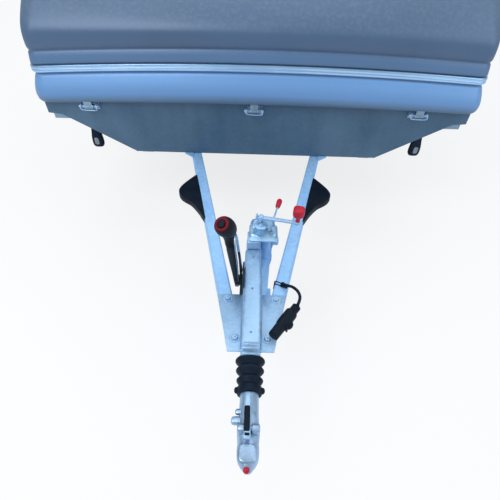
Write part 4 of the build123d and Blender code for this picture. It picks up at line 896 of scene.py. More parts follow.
# %% [markdown]
# ## The jockey's gearbox, crank and clamp
# The jockey wheel's screw is wound by a small gearbox on a clamp plate. Its housing is a
# pressing that narrows upwards, so it is stacked from rounded sections, and a round hole is
# cut up through it for the inner tube. The spindle stands in a turned boss, and the flat
# crank carries a red knob on a pin.
# %% Stack the gearbox
jockey_across, jockey_back = 52, 806
gear_levels = [
    (603, -16, 90, 754, 838), (606, -16, 89, 760, 838), (611, -15.5, 88, 770, 837),
    (618, -15, 85, 774, 836), (628, -14, 81, 776, 835), (635, -12, 79, 777, 833),
    (641, -10, 78, 778, 832), (645, -4, 72, 782, 828), (647, 4, 62, 788, 822),
]
gear_shell = skin([
    ring(((left + right) / 2, (front + rear) / 2, level), (right - left) / 2, (rear - front) / 2,
         ACROSS, BACK, 5, 48)
    for level, left, right, front, rear in eased(gear_levels, 2)
])
base_plan = [
    (-18, 752), (-12, 746), (86, 746), (93, 753), (93, 832), (86, 840), (-12, 840), (-18, 834),
]
gear_base = plate(at_level(base_plan, 597), Vector((0, 0, 7)), 1.6)
gear_boss = turned(
    [(0, 26), (4, 24), (8, 23), (36, 23), (38, 24.5), (43, 24.5), (45, 23), (45.5, 9), (49, 8.6),
     (49.5, 0.3)],
    (26, 787, 604), UP, 44,
)
gear_feet = joined(
    block((-14, 758, 560), (-8, 800, 600), 2), block((14, 758, 560), (20, 800, 600), 2),
    boss(-9, 9, 10.5, (84, 766, 586), BACK, 6, 1.5),
    turned([(-14, 5.5), (14, 5.5)], (84, 766, 586), BACK, 14),
    block((72, 750, 578), (96, 784, 599), 5),
    boss(-2, 6, 7, (58, 777, 636), (0, -0.8, 0.6), 6),
    boss(-2, 5, 5.5, (68, 773, 624), (0, -0.8, 0.6), 6),
)
screw_room = turned([(585, 22.4), (642, 22.4)], (jockey_across, jockey_back, 0), UP, 40)
piece(
    "jockey_gearbox",
    joined(*[carved(one, screw_room) for one in (gear_shell, gear_base, gear_boss)], gear_feet),
    cast_gear, "chassis", ["jockey_head"], sharp=40,
)

# %% Bend the crank and mould its knob
spindle_place = Vector((26, jockey_back, 0))
knob_place = Vector((164, jockey_back, 0))
crank_turned_by = -11
crank_path = [(x, jockey_back, z) for x, z in (
    (8, 669), (20, 670), (60, 671), (120, 671), (152, 671), (173, 671))]
crank_shape = joined(
    swept(crank_path, [(6, 3.4), (8.4, 3.6), (8.4, 3.6), (8, 3.6), (8.6, 3.6), (8.6, 3.4)], 5, 20),
    turned([(648, 8), (662, 8), (664, 10.5), (677, 10.5), (679, 9), (679.5, 0.3)], spindle_place,
           UP, 28),
    turned([(665.5, 9.5), (667, 10.5), (675.8, 10.5), (677.5, 9)], knob_place, UP, 28),
    turned([(674, 4.5), (700, 4.5)], knob_place, UP, 16),
    block((6, 798, 665), (12, 814, 681), 2),
)
piece(
    "crank_bar", turned_about(crank_shape, spindle_place, "Z", crank_turned_by), zinc_bright,
    "crank", ["jockey_crank"],
)
knob_line = eased([
    (679, 8.2, 2), (686, 8.6, 2), (694, 9.4, 2.2), (701, 12.5, 2.6), (706, 18, 3), (712, 20.8, 3.2),
    (724, 21.6, 3.6), (733, 21, 3.6), (737, 18.8, 3.4), (738.4, 14.5, 3), (738.8, 0.4, 2),
], 2)
knob_shape = skin([
    ring(knob_place + level * UP, wide, wide, ACROSS, BACK, corner, 40)
    for level, wide, corner in knob_line
])
piece(
    "crank_grip", turned_about(knob_shape, spindle_place, "Z", crank_turned_by), red_knob,
    "crank", ["crank_knob"], sharp=55,
)

# %% Draw the clamp lever and its grip
clamp_start, clamp_end = Vector((72, 826, 634)), Vector((98, 934, 634))
clamp_way = (clamp_end - clamp_start).normalized()
rod_path = [clamp_start + clamp_way, clamp_start + clamp_way * 20, clamp_end]
piece(
    "clamp_lever_rod",
    joined(
        swept(rod_path, (3.6, 3.6), 2, 14),
        turned([(-12, 7.5), (-10, 8.5), (8, 8.5), (10, 7.5)], clamp_start + clamp_way * 6, UP, 6),
    ),
    zinc_bright, "chassis",
)
sleeve_line = [
    (-20, 6.2), (-18, 8), (-14, 9.4), (0, 10.8), (16, 11.6), (25, 11.2), (30, 9), (32, 5),
    (32.4, 0.3),
]
piece(
    "clamp_lever_sleeve", turned(sleeve_line, clamp_end, clamp_way, 24), red_knob, "chassis",
    ["clamp_lever_grip"],
)

# %% [markdown]
# ## The connector plug
# The plug is a stout moulded body with a cover hinge on its side, a ribbed neck that stops
# the lead from kinking, and a fluted collar round its pins. Its sections run along one
# straight axis, from the lead to the pins, and it lies on the flange's edge.
# %% Mould the plug
plug_tail = Vector((155, 495, 537))
plug_way = (Vector((70, 376, 535)) - plug_tail).normalized()
plug_side = plug_way.cross(UP).normalized()
plug_line = eased([
    (-6, 7), (0, 9), (6, 12.5), (12, 14), (24, 14.5), (30, 17), (34, 20.6), (48, 21.4), (76, 21.6),
    (92, 21), (99, 19.6), (104, 18.2), (140, 17.6), (144, 16.4), (145, 13.5),
], 2)
neck_rib = [(-2, 12), (-1.6, 15.6), (1.6, 15.6), (2, 12)]
lid_line = [(8, 18, 15), (20, 16, 13), (26, 13, 11), (30, 8.5, 8), (31.5, 4, 4)]
plug_shape = joined(
    skin([ring(plug_tail + plug_way * along, wide, wide, plug_side, UP, 2.5, 36)
          for along, wide in plug_line]),
    *[turned(neck_rib, plug_tail + plug_way * along, plug_way, 28) for along in (4, 9.5, 15, 20.5)],
    skin([ring(plug_tail + plug_way * 79 - plug_side * out, long, high, plug_way, UP, 3, 24)
          for out, long, high in lid_line]),
    turned([(-13, 3.4), (13, 3.4)], plug_tail + plug_way * 97 - plug_side * 21.5, UP, 14),
)
plug = piece("plug_body", plug_shape, plug_plastic, "chassis", ["plug"], sharp=38)
piece(
    "lead_sleeve",
    swept([(112, 618, 503), (118, 612, 507), (124, 606, 512), (130, 600, 520)],
          [(11, 11), (9.6, 9.6), (7.8, 7.8), (6.6, 6.6)], 2, 24, BACK),
    plug_plastic, "chassis", ["lead_gland"],
)

# %% [markdown]
# ## The wheel chocks
# Two wedge-shaped chocks are stored against the outside of the arms. Each is a hollow
# moulding with a curved back, so its plan is drawn as one smooth outline, and its upper
# face is drawn in a little to show the draft of the mould.
# %% Mould the chocks
chock_plan = eased([
    (-206, 968), (-236, 1018), (-257, 1056), (-281, 1092), (-306, 1122), (-334, 1143),
    (-354, 1162), (-369, 1187), (-374, 1214), (-366, 1246), (-347, 1283), (-328, 1314),
    (-310, 1342),
], 4)
chock_back = [Vector((-300, 1348)), Vector((-203, 962))]
chock_middle = Vector((-290, 1180))
chock_rings = []
chock_levels = [
    (466, 0.975), (469, 0.995), (488, 0.99), (495, 0.982), (498, 0.965), (499, 0.93),
]
for level, draft in chock_levels:
    chock_rings.append([
        Vector((*(chock_middle + (Vector(point[:2]) - chock_middle) * draft), level))
        for point in chock_plan + chock_back
    ])
chock_shape = skin(chock_rings)
piece("chock_left", chock_shape, chock_plastic, "chassis", ["wheel_chocks"],
      sharp=48)
piece("chock_right", mirrored(chock_shape), chock_plastic, "chassis", sharp=48)

# %% [markdown]
# ## The flange plate and its ridge
# A flat plate closes the front of the V, and a folded cover runs back along it over the
# overrun gear. The cover is a long loaf with square shoulders, so it is a skin over a few
# sections; it ends in two low steps towards the bellows, and thin weld beads run along its
# foot. Two more beads show where the arms meet the cross pieces behind.
# %% Fold the cover
arm_top = 500
flange_plan = [
    (-76, 336), (76, 336), (124, 565), (40, 565), (34, 556), (-34, 556), (-40, 565), (-124, 565),
]
ridge_sections = [
    (337, 27, 527), (338.5, 29, 530), (345, 30, 531), (440, 31.5, 531), (540, 32, 531),
    (640, 31.5, 531), (737, 30.5, 531), (739, 29, 530),
]
piece(
    "flange_and_ridge",
    joined(
        plate(at_level(flange_plan, arm_top), Vector((0, 0, 6)), 1.4),
        skin([ring((0, back, middle), wide, 31, corner=8, steps=48)
              for back, wide, middle in ridge_sections]),
        block((-27.5, 329, arm_top), (27.5, 341, 538), 4),
        block((-25.5, 334, arm_top), (25.5, 346, 553), 4),
        block((-30, 324, 498), (30, 338, 511), 3),
        *[swept([(side * 33.5, 342, 507), (side * 34.5, 540, 507), (side * 33.5, 728, 507)],
                (2.2, 2.2), 2, 10) for side in (-1, 1)],
    ),
    zinc_bright, "chassis", ["overrun_cover"],
)
piece(
    "arm_welds",
    joined(
        swept([(-307, 1384, arm_top), (-288, 1381, 500.6), (-269, 1378, arm_top)], (3, 1.6), 2, 10),
        swept([(269, 1378, arm_top), (288, 1381, 500.6), (307, 1384, arm_top)], (3, 1.6), 2, 10),
    ),
    zinc_arm_painted_light, "chassis",
)

# %% [markdown]
# ## The overrun body and the jockey's tube
# Under the flange plate sits the casting that the draw tube slides in. Its nose is round and
# stands back from the plate's edge, so from above only its bolts show. The jockey's outer
# tube stands beside it. It is hollow, because the inner tube runs up inside it, and a thick
# bead near its foot is the clamp that a small block holds against the casting's flank. A
# shelf at the ridge's end carries the gearbox.
# %% Cast the overrun body
body_sections = [
    (338, 33, 33, 460, 2), (352, 34, 34, 460, 2), (372, 36, 38, 459, 2.2), (396, 62, 43, 457, 3.4),
    (412, 70, 44, 456, 5), (538, 70, 44, 456, 6), (552, 58, 43, 456, 5), (562, 40, 42, 456, 4),
    (574, 31, 40, 456, 4), (746, 30, 40, 456, 4), (756, 24, 34, 456, 3),
]
piece(
    "overrun_casting",
    skin([ring((0, back, level), wide, high, corner=corner, steps=48)
          for back, wide, high, level, corner in body_sections]),
    cast_head, "chassis", ["overrun_housing"], sharp=40,
)

# %% Clamp the jockey's outer tube


def ring_of(profile, base, axis, steps):
    """A turned ring with an open middle: its section is a closed line."""
    corners, faces = turned(profile + profile[:1], base, axis, steps)
    return corners, faces[:-2]


tube_line = [(424, 21.7), (424, 23.2), (425, 24), (598, 24), (599, 23.5), (599, 21.7)]
collar_bead = [(438, 23.5), (439.5, 26.5), (470, 26.5), (471.5, 23.5)]
tube_foot = (jockey_across, jockey_back, 0)
piece(
    "jockey_tube",
    joined(
        ring_of(tube_line, tube_foot, UP, 44), ring_of(collar_bead, tube_foot, UP, 40),
        block((28, 742, 441), (44, 786, 469), 4),
        plate([Vector((x, 790, z)) for x, z in ((72, 598), (90, 598), (84, 560), (73, 512))],
              Vector((0, 5, 0)), 1),
    ),
    zinc_arm_painted_light, "chassis", ["jockey_outer_tube"],
)
piece(
    "ridge_shelf",
    joined(block((-27, 740, 506), (30, 812, 552), 4), block((-24, 742, 548), (27, 806, 598), 3)),
    zinc_bright, "chassis",
)

# %% [markdown]
# ## Bolts grow on a list of places
# Hexagon bolts with flat washers hold the flange plate, and rivets, wheel nuts and floor
# screws are the same shape in other sizes. Modelling one and copying it by hand would be
# dull and easy to get wrong, so a Geometry Nodes tree grows one on each place of a list and
# turns it outwards. Its sizes are inputs with names; realising the copies at the end makes
# them a plain mesh.
# %% A tree that grows things on places


class Pattern(Finish):
    """A Geometry Nodes tree that is wired like a finish."""

    family = "GeometryNode"

    def __init__(self, name, **sizes):
        self.tree = bpy.data.node_groups.new(name, "GeometryNodeTree")
        self.sockets = {}
        self.tree.interface.new_socket("Places", in_out="INPUT", socket_type="NodeSocketGeometry")
        for label, value in sizes.items():
            socket = self.tree.interface.new_socket(
                label, in_out="INPUT", socket_type="NodeSocketFloat")
            socket.default_value = value
            self.sockets[label] = socket
        self.sockets["Finish"] = self.tree.interface.new_socket(
            "Finish", in_out="INPUT", socket_type="NodeSocketMaterial")
        self.tree.interface.new_socket("Result", in_out="OUTPUT", socket_type="NodeSocketGeometry")
        self.given = self.tree.nodes.new("NodeGroupInput")

    def size(self, label):
        return Wire(self, self.given.outputs[label])

    def set_on_places(self, shape):
        """Put a copy on every place, its own up turned outwards, and make the copies real."""
        outward = self.node("InputNamedAttribute", {"Name": "outward"}, data_type="FLOAT_VECTOR")
        facing = self.node("FunctionNodeAlignRotationToVector", {"Vector": outward}, axis="Z")
        self.end(self.node("InstanceOnPoints", {
            "Points": self.size("Places"), "Instance": shape, "Rotation": facing}))

    def end(self, shape):
        real = self.node("RealizeInstances", {"Geometry": shape})
        dressed = self.node("SetMaterial", {"Geometry": real, "Material": self.size("Finish")})
        out = self.tree.nodes.new("NodeGroupOutput")
        self.tree.links.new(dressed.socket, out.inputs[0])

    def join(self, *shapes):
        """Join several shapes in the tree."""
        joint = self.tree.nodes.new("GeometryNodeJoinGeometry")
        for shape in shapes:
            self.tree.links.new(shape.socket, joint.inputs[0])
        return Wire(self, joint.outputs[0])

    def cone(self, sides, low, high, depth, base):
        """A cone or prism that stands on a level."""
        made = self.node("MeshCone", {
            "Vertices": sides, "Radius Bottom": low, "Radius Top": high, "Depth": depth})
        lift = self.node("ShaderNodeCombineXYZ", {"Z": base})
        return self.node("Transform", {"Geometry": made, "Translation": lift})


def grown(name, pattern, places, finish, body, slot, **sizes):
    """Run a pattern over (place, outward) pairs and keep the result as a plain mesh."""
    seed = bpy.data.meshes.new(name)
    seed.from_pydata([at(*place) for place, _ in places], [], [])
    directions = seed.attributes.new("outward", "FLOAT_VECTOR", "POINT")
    for item, (_, direction) in zip(directions.data, places):
        item.vector = direction
    made = placed(name, seed)
    growth = made.modifiers.new("growth", "NODES")
    growth.node_group = pattern.tree
    for label, value in {**sizes, "Finish": finish}.items():
        growth[pattern.sockets[label].identifier] = value
    result = made.evaluated_get(bpy.context.evaluated_depsgraph_get())
    mesh = bpy.data.meshes.new_from_object(result)
    made.modifiers.remove(growth)
    made.data = mesh
    mesh.shade_smooth()
    mesh.set_sharp_from_angle(angle=math.radians(30))
    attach(made, body)
    print(name, len(places), "places", len(mesh.polygons), "faces")


# %% Wire the bolt
bolt = Pattern("hexagon_bolt", head=0.0085, height=0.007, washer=0.0125, stud=0.004)
bolt_head, bolt_height = bolt.size("head"), bolt.size("height")
bolt.set_on_places(bolt.join(
    bolt.cone(28, bolt.size("washer"), bolt.size("washer") * 0.95, 0.0022, 0.0),
    bolt.cone(6, bolt_head, bolt_head, bolt_height * 0.8, 0.0018),
    bolt.cone(6, bolt_head, bolt_head * 0.82, bolt_height * 0.2, bolt_height * 0.8 + 0.0018),
    bolt.cone(14, bolt.size("stud"), bolt.size("stud") * 0.8, bolt_height + 0.003, 0.0018),
))
flange_places = [((x, s, 505.5), UP) for x, s in ((-87, 544), (87, 544), (-53, 383), (53, 383))]
grown("flange_bolts", bolt, flange_places, zinc_bright, "chassis", "galvanised",
      head=0.0110, height=0.009, washer=0.0175)
rivet_places = [((x, s, 561.6), UP) for x, s in ((-1, 372), (0, 548), (1, 700))]
grown("ridge_rivets", bolt, rivet_places, zinc_frame, "chassis", "galvanised",
      head=0.0025, height=0.001, washer=0.0036, stud=0.001)

# %% [markdown]
# ## The hood, drawn as contour lines
# The hood is one big moulding, and like a hill it can be drawn as contour lines: each level
# has a plan, which is a rounded rectangle with a slightly bowed front, and a table says how
# far the front, the sides and the tail have drawn in at that height. The table is eased so
# that no crease is sharper than a mould would leave, and the shell gets its wall afterwards.
# %% One contour of the hood
hood_front, hood_tail, hood_half, hood_corner = 1490, 6095, 1118, 88
bow_radius = 26000


front_points, side_points = 48, 32


def contour(level, front, side, tail, corner, sag):
    """Points round the hood at a level, with each wall drawn in; sides sag below the middle."""
    half, ahead, behind = hood_half - side, hood_front + front, hood_tail - tail
    length = behind - ahead
    straight = length - 2 * corner
    run, last = side_points - 1, front_points - 1
    plan = [((half - corner) * (2 * step / last - 1), ahead) for step in range(front_points)]
    for middle, start in (
        ((half - corner, ahead + corner), -90), ((half - corner, behind - corner), 0),
        ((corner - half, behind - corner), 90), ((corner - half, ahead + corner), 180),
    ):
        for step in range(1, 10):
            turn = math.radians(start + step * 10 - (5 if step == 9 else 0))
            plan.append((middle[0] + corner * math.cos(turn), middle[1] + corner * math.sin(turn)))
        if start == -90:
            plan += [(half, ahead + corner + straight * s / run) for s in range(side_points)]
        if start == 0:
            plan += [((half - corner) * (1 - 2 * s / run), behind) for s in range(side_points)]
        if start == 90:
            plan += [(-half, behind - corner - straight * s / run) for s in range(side_points)]
    return [
        Vector((x, back + x * x / (2 * bow_radius) * (1 - (back - ahead) / length),
                level - sag * (x / hood_half) ** 2))
        for x, back in plan
    ]


def open_skin(rings, top=False):
    """A skin over rings with an open foot, and an open top unless told otherwise."""
    corners, faces = skin(rings)
    return corners, faces[:-2] + (faces[-1:] if top else [])


def walled(shape, thickness):
    """An open skin made into a wall, its thickness inside."""
    made = bmesh.new()
    points = [made.verts.new(corner) for corner in shape[0]]
    for face in shape[1]:
        made.faces.new([points[index] for index in face])
    bmesh.ops.recalc_face_normals(made, faces=made.faces)
    bmesh.ops.solidify(made, geom=list(made.faces), thickness=thickness)
    return taken(made)


print("contour has", len(contour(1000, 0, 0, 0, 88, 0)), "points")

# %% Mould the upper hood
hood_levels = [
    (936, 33, 33, 33, 55, 42), (960, 33, 33, 33, 55, 42), (982, 33, 33, 33, 55, 42),
    (986, 25, 25, 25, 63, 42), (1000, 26, 26, 26, 62, 42), (1030, 33, 31, 31, 56, 42),
    (1037, 38, 36, 36, 52, 42), (1043, 37, 35, 35, 54, 41), (1052, 32, 31, 31, 58, 41),
    (1075, 30, 30, 30, 62, 38), (1105, 31, 30, 30, 70, 32), (1128, 41, 30, 30, 78, 26),
    (1155, 62, 31, 30, 86, 21), (1200, 106, 32, 30, 98, 15), (1300, 213, 34, 30, 118, 7),
    (1450, 374, 38, 31, 138, 2), (1600, 535, 43, 32, 152, 0), (1750, 697, 50, 36, 166, 0),
    (1850, 806, 58, 48, 182, 0), (1910, 876, 70, 72, 204, 0), (1955, 940, 92, 112, 236, 0),
    (1990, 1010, 134, 150, 280, 0), (2030, 1126, 226, 192, 330, 0), (2070, 1268, 350, 236, 360, 0),
    (2105, 1420, 490, 290, 360, 0), (2135, 1580, 645, 372, 330, 0), (2155, 1720, 800, 480, 270, 0),
    (2165, 1830, 930, 600, 170, 0), (2170, 1960, 1040, 800, 70, 0),
]
upper = open_skin([contour(*level) for level in eased(hood_levels, 2)], top=True)
piece(
    "hood_upper", walled(upper, 6), hood_painted_shade, "hood", ["hood_shell"], sharp=70,
)

# %% Mould the apron and its trim band


def even(level, inset, sag, corner=None):
    """What contour takes where the moulding draws in alike all round."""
    return level, inset, inset, inset, hood_corner - inset if corner is None else corner, sag


apron_levels = [
    (812, 34, 30, 56), (804, 31, 30, 59), (800.5, 24, 30, 65), (801.5, 15, 30.5), (807, 8, 31),
    (817, 3, 32), (830, 0.5, 33), (844, 0, 34.5), (860, 2, 36), (880, 6.5, 38), (902, 13.5, 40),
    (922, 21.5, 41), (935, 28, 42), (941.5, 36, 42),
]
apron = [contour(*level) for level in eased([even(*level) for level in apron_levels], 2)]
piece(
    "hood_apron", walled(open_skin(apron), 5),
    hood_painted_lit, "hood", ["hood_skirt"], sharp=70,
)
band_levels = [
    (950, 34), (950, 23), (951.5, 20.6), (955, 19.4), (962, 19), (965, 20.6), (968, 19.4),
    (975, 19.4), (979.5, 21.5), (981, 25), (981, 34),
]
band_sag = 42
band = [contour(*even(level, inset, band_sag)) for level, inset in band_levels]
piece(
    "hood_trim", walled(open_skin(band), 1.5),
    band_trim, "hood", ["hood_band"], sharp=40,
)
seal_levels = [
    (811, 37, 30), (803, 37, 30), (797, 33.5, 30, 54), (797, 29, 30), (803, 26.5, 30, 61),
    (811, 27, 30),
]
seal = [contour(*even(*level)) for level in seal_levels + seal_levels[:1]]
piece("hood_seal", open_skin(seal), rubber, "hood", sharp=60)

# %% [markdown]
# ## The front plate
# A galvanised sheet closes the front of the bed. Its lower corners are cut away and its foot
# is folded back. Its upper corners reach over the ends of the bed's frame. Two small webs
# steady the drawbar where it passes under the sheet.
# %% Cut and fold the front plate
plate_back = 1550
plate_line = [
    (-664, 506), (664, 506), (1010, 705.3), (1078, 712), (1078, 790), (-1078, 790), (-1078, 712),
    (-1010, 705.3),
]
web_plan = [(344, 1549), (392, 1549), (392, 1542), (341, 1500)]
web = plate(at_level(web_plan, arm_top), Vector((0, 0, 5)), 1)
piece(
    "front_sheet",
    joined(
        plate([Vector((x, plate_back, z)) for x, z in plate_line], Vector((0, 4, 0)), 0.8, 1),
        block((-664, plate_back, 503.5), (664, 1584, 507), 1.2),
    ),
    zinc_sheet_painted_shade, "chassis", ["front_skirt"],
)
# painted light: the webs wear the raised arm zinc, which makes up for the shade on them
piece("drawbar_webs", pair(web), zinc_arm_painted_light, "chassis")

# %% [markdown]
# ## Hinge clips under the lip
# Three hinges hold the hood's front. Each is a folded bracket with two ears, a pin with
# turned ends, and two short springs on it; the leaf that is rolled round the pin belongs to
# the hood. A bent wire clip keeps the pin in, and follows a smooth path through a few bends.
# The hangers of the two gas struts are made here too, since they ride on the hood as well.
# %% Fold the hinges
hinge_places = (-844, -15, 808)
hinge_back, hinge_height = 1523, 762
ear_outline = [
    Vector((0, hinge_back, hinge_height)) + on_circle(13, degrees) for degrees in range(80, 281, 20)
] + [Vector((0, plate_back, 748)), Vector((0, plate_back, 776))]
hinge_ear = plate(ear_outline, Vector((4, 0, 0)), 0.8, 1)
pin_line = [(-50, 0.3), (-49.5, 5.5), (-48, 7), (46, 7), (48, 5.5), (48.5, 0.3)]
leaf_roll = [(-25, 7.6), (-24.5, 11), (-23.5, 12), (23.5, 12), (24.5, 11), (25, 7.6)]
wire_path = [
    (40, 1515, 768), (43, 1511, 760), (38, 1508, 750), (8, 1509, 748), (-28, 1511, 749),
    (-41, 1512, 755), (-39, 1515, 764),
]
hinge_shapes, leaf_shapes = [], []
for x in hinge_places:
    hinge_shapes += [moved(hinge_ear, (ear_x, 0, 0)) for ear_x in (x - 41, x + 37)]
    hinge_pin = (x, hinge_back, hinge_height)
    hinge_shapes.append(block((x - 42, 1546.5, 740), (x + 42, plate_back, 780), 1.2))
    for middle in (-27, 27):
        coils = [(middle - 8 + step, 6.2 + 2.6 * (step % 2)) for step in range(1, 16)]
        spring = [(middle - 8, 5), *coils, (middle + 8, 5)]
        hinge_shapes.append(turned(spring, hinge_pin, ACROSS, 18))
    wire = eased([(x + out, back, level) for out, back, level in wire_path], 4)
    hinge_shapes += [
        turned(pin_line, hinge_pin, ACROSS, 20), swept(wire, (2.3, 2.3), 2, 8, BACK),
    ]
    leaf_shapes += [
        turned(leaf_roll, hinge_pin, ACROSS, 24),
        block((x - 20, 1511, 770), (x + 20, 1515, 806), 1.5),
    ]
piece("hinge_clips", joined(*hinge_shapes), zinc_bright, "chassis",
      ["hinge_brackets"])
for side in (-1, 1):
    strut_stud = (side * 1068, 2350, 1064)
    inner, outer = sorted((side * 1073, side * 1085))
    leaf_shapes += [
        boss(0, 5, 25, strut_stud, side * ACROSS, 28),
        turned([(-48, 6), (2, 7)], strut_stud, side * ACROSS, 18),
        block((inner, 2310, 1030), (outer, 2390, 1098), 3),
    ]
piece("hood_leaves", joined(*leaf_shapes), zinc_frame, "hood",
      ["hood_fittings"])

# %% [markdown]
# ## Position lamps on rubber arms
# The front lamps sit in soft rubber arms, so that a knock bends them instead of breaking
# them. The arm swells downwards round the lamp; the lens is a small dome on its front.
# %% Mould the lamp arms
lamp_across = 870
lamp_levels = [
    (668, 17, 10, 1579), (640, 19, 13, 1577), (606, 23, 17, 1573), (575, 27.5, 20.5, 1569),
    (548, 29, 21, 1568), (532, 27.5, 19, 1568), (523, 23, 15, 1568), (519, 15, 9, 1568),
]
arm_shape = skin([
    ring((lamp_across, back, level), wide, deep, ACROSS, BACK, 3.2, 32)
    for level, wide, deep, back in eased(lamp_levels, 3)
])
lens_line = [(-4, 12, 19), (1.5, 12, 19), (3.4, 10.5, 17.5), (4.4, 7, 12), (4.8, 2, 3)]
lens_shape = skin([
    ring((lamp_across, 1549 - out, 558), wide, high, ACROSS, UP, 4, 32)
    for out, wide, high in lens_line
])
piece("lamp_arms", pair(arm_shape), rubber, "chassis",
      ["position_lamps"], sharp=50)
piece("lamp_domes", pair(lens_shape), clear_lens, "chassis",
      ["position_lenses"], sharp=50)

# %% [markdown]
# ## Ties round the drawbar
# Two black cable ties strap the lead to the right arm. Each is a flat band round the arm's
# corners, with a small square head.
# %% Strap the lead down
tie_shapes = []
for start, end in (((85, 636), (131, 617)), ((83, 623), (129, 606))):
    tie_shapes += [
        swept([(start[0] - 1, start[1], 470), (*start, 499), (start[0] + 2, start[1], 501.8),
               (end[0] - 2, end[1], 501.8), (*end, 499), (end[0] + 1, end[1], 470)],
              (2.4, 1), 4, 8, BACK),
        block((end[0] - 7, end[1] - 4, 500), (end[0] + 1, end[1] + 4, 506), 1),
    ]
piece("lead_ties", joined(*tie_shapes), plug_plastic, "chassis")

# %% [markdown]
# ## Wheels
# A tyre is a ring with a drawn section: beads, bulging walls with a scuff rib, and a flat
# crown. The tread blocks are grown on the crown by a second tree of nodes, which is fed the
# width, length and height of a block. Steel rims have a drop centre and ten hand holes, and
# behind each disc sits the brake drum on its long hub.
# %% A tree for blocks
studs = Pattern("tread_block", wide=0.022, long=0.03, high=0.008)
studs.set_on_places(studs.node("MeshCube", {"Size": studs.node("ShaderNodeCombineXYZ", {
    "X": studs.size("wide"), "Y": studs.size("long"), "Z": studs.size("high")})}))

tyre_half_line = [
    (66, 171), (70, 173), (73, 180), (72.5, 187), (77, 194), (82, 206), (85.4, 222), (86, 236),
    (87.3, 239), (87.3, 243), (85.6, 246), (84, 256), (80, 267), (74, 275.5), (66, 280.5),
    (63, 281), (61, 278.5), (59, 281.8), (40, 283.2), (28, 283.8),
]
tyre_line = [(-x, r) for x, r in tyre_half_line] + [(x, r) for x, r in tyre_half_line[::-1]]
rim_line = [
    (74, 170), (76, 178), (75.5, 187), (73.5, 188.5), (72, 186), (72, 176), (64, 171), (56, 162),
    (38, 153), (-40, 152), (-60, 160), (-64, 171), (-72, 176), (-72, 186), (-73.5, 188.5),
    (-75.5, 187), (-76, 178), (-74, 170), (-60, 155), (-40, 147), (36, 148), (60, 160),
]
disc_line = [
    (19, 152), (25, 152), (33, 142), (38, 128), (37, 112), (31, 94), (26, 82), (24, 70), (24, 30),
    (19, 30), (19, 70), (21, 84), (26, 96), (32, 113), (33, 127), (28, 139),
]
hand_holes = joined(*[
    turned([(12, 15), (50, 15)], on_circle(115, degrees), ACROSS, 24)
    for degrees in range(18, 360, 36)
])
disc = carved(ring_of(disc_line, (0, 0, 0), ACROSS, 90), hand_holes)
hub = turned([
    (-169.5, 44), (-166, 50), (-84, 52), (-80, 56), (-78, 100), (-74, 108), (-64, 112),
    (-60, 109), (-26, 109), (-20, 104), (-17, 94), (-15, 52), (14, 52), (18, 46), (24, 36),
    (30, 32), (50, 31), (55, 28), (58, 20), (58.5, 0.3),
], (0, 0, 0), ACROSS, 64)
wheel_shape = joined(ring_of(rim_line, (0, 0, 0), ACROSS, 90), disc, hub)
tyre_shape = ring_of(tyre_line, (0, 0, 0), ACROSS, 96)
print("wheel faces", len(wheel_shape[1]), "tyre faces", len(tyre_shape[1]))

# %% Set the four wheels
rim_paint = moulded("rim_paint", (0.36, 0.40, 0.44), (0.20, 0.21, 0.22), 0.4, 300, 0.0001, 0.35,
                    worn=(0.5, 0.52, 0.54), shine=0.5)
wheel_across, axle_height, front_axle, rear_axle = 869.5, 290, 3760, 4460
tread_radius, tread_steps, nut_radius = 285.4, 44, 56
for name, side, along in (
    ("front_left", -1, front_axle), ("front_right", 1, front_axle),
    ("rear_left", -1, rear_axle), ("rear_right", 1, rear_axle),
):
    body = "wheel_" + name
    place = Vector((side * wheel_across, along, axle_height))
    rim_here = moved(wheel_shape if side > 0 else mirrored(wheel_shape), place)
    piece("wheel_disc_" + name, rim_here, rim_paint, body, ["rim_" + name])
    piece("tyre_ring_" + name, moved(tyre_shape, place), tyre_rubber, body,
          ["tyre_" + name], sharp=50)
    blocks = []
    for row, x in enumerate((-50, -25, 0, 25, 50)):
        for step in range(tread_steps):
            turn = math.radians((step + 0.25 + 0.5 * (row % 2)) * 360 / tread_steps)
            way = Vector((0, math.sin(turn), math.cos(turn)))
            blocks.append((place + x * ACROSS + way * tread_radius, way))
    grown("tread_" + name, studs, blocks, tyre_rubber, body, "tyre_rubber",
          wide=0.021, long=0.032, high=0.0078)
    nuts = [
        (place + on_circle(nut_radius, degrees, side * 23.8), side * ACROSS)
        for degrees in range(18, 360, 72)
    ]
    grown("wheel_nuts_" + name, bolt, nuts, zinc_dark, body, "galvanised",
          head=0.0095, height=0.013, washer=0.0125, stud=0.005)

# %% Round the mudguards' lips and the jockey's wheel
lip_paths = [
    [Vector((side * 971, axle, axle_height)) + on_circle(333, degrees)
     for axle, turns in ((front_axle, range(160, 89, -7)), (rear_axle, range(90, 19, -7)))
     for degrees in turns]
    for side in (-1, 1)
]
piece("guard_lips", joined(*[swept(path, (5, 5), 2, 12) for path in lip_paths]),
      chock_plastic, "chassis")
jockey_at = (jockey_across, 852, 100)
jockey_line = [(-17, 55), (-23, 60), (-25, 72), (-25, 84), (-22.5, 93), (-16, 98), (-6, 99.8),
               (6, 99.8), (16, 98), (22.5, 93), (25, 84), (25, 72), (23, 60), (17, 55)]
piece("jockey_tyre", ring_of(jockey_line, jockey_at, ACROSS, 64), rubber,
      "jockey_roller", ["jockey_wheel"], sharp=50)
piece(
    "jockey_hub",
    turned([(-19, 0.3), (-19, 24), (-14, 27), (-8, 52), (-17, 56), (-17, 58), (17, 58), (17, 56),
            (8, 52), (14, 27), (19, 24), (19, 0.3)], jockey_at, ACROSS, 56),
    zinc_frame, "jockey_roller",
)

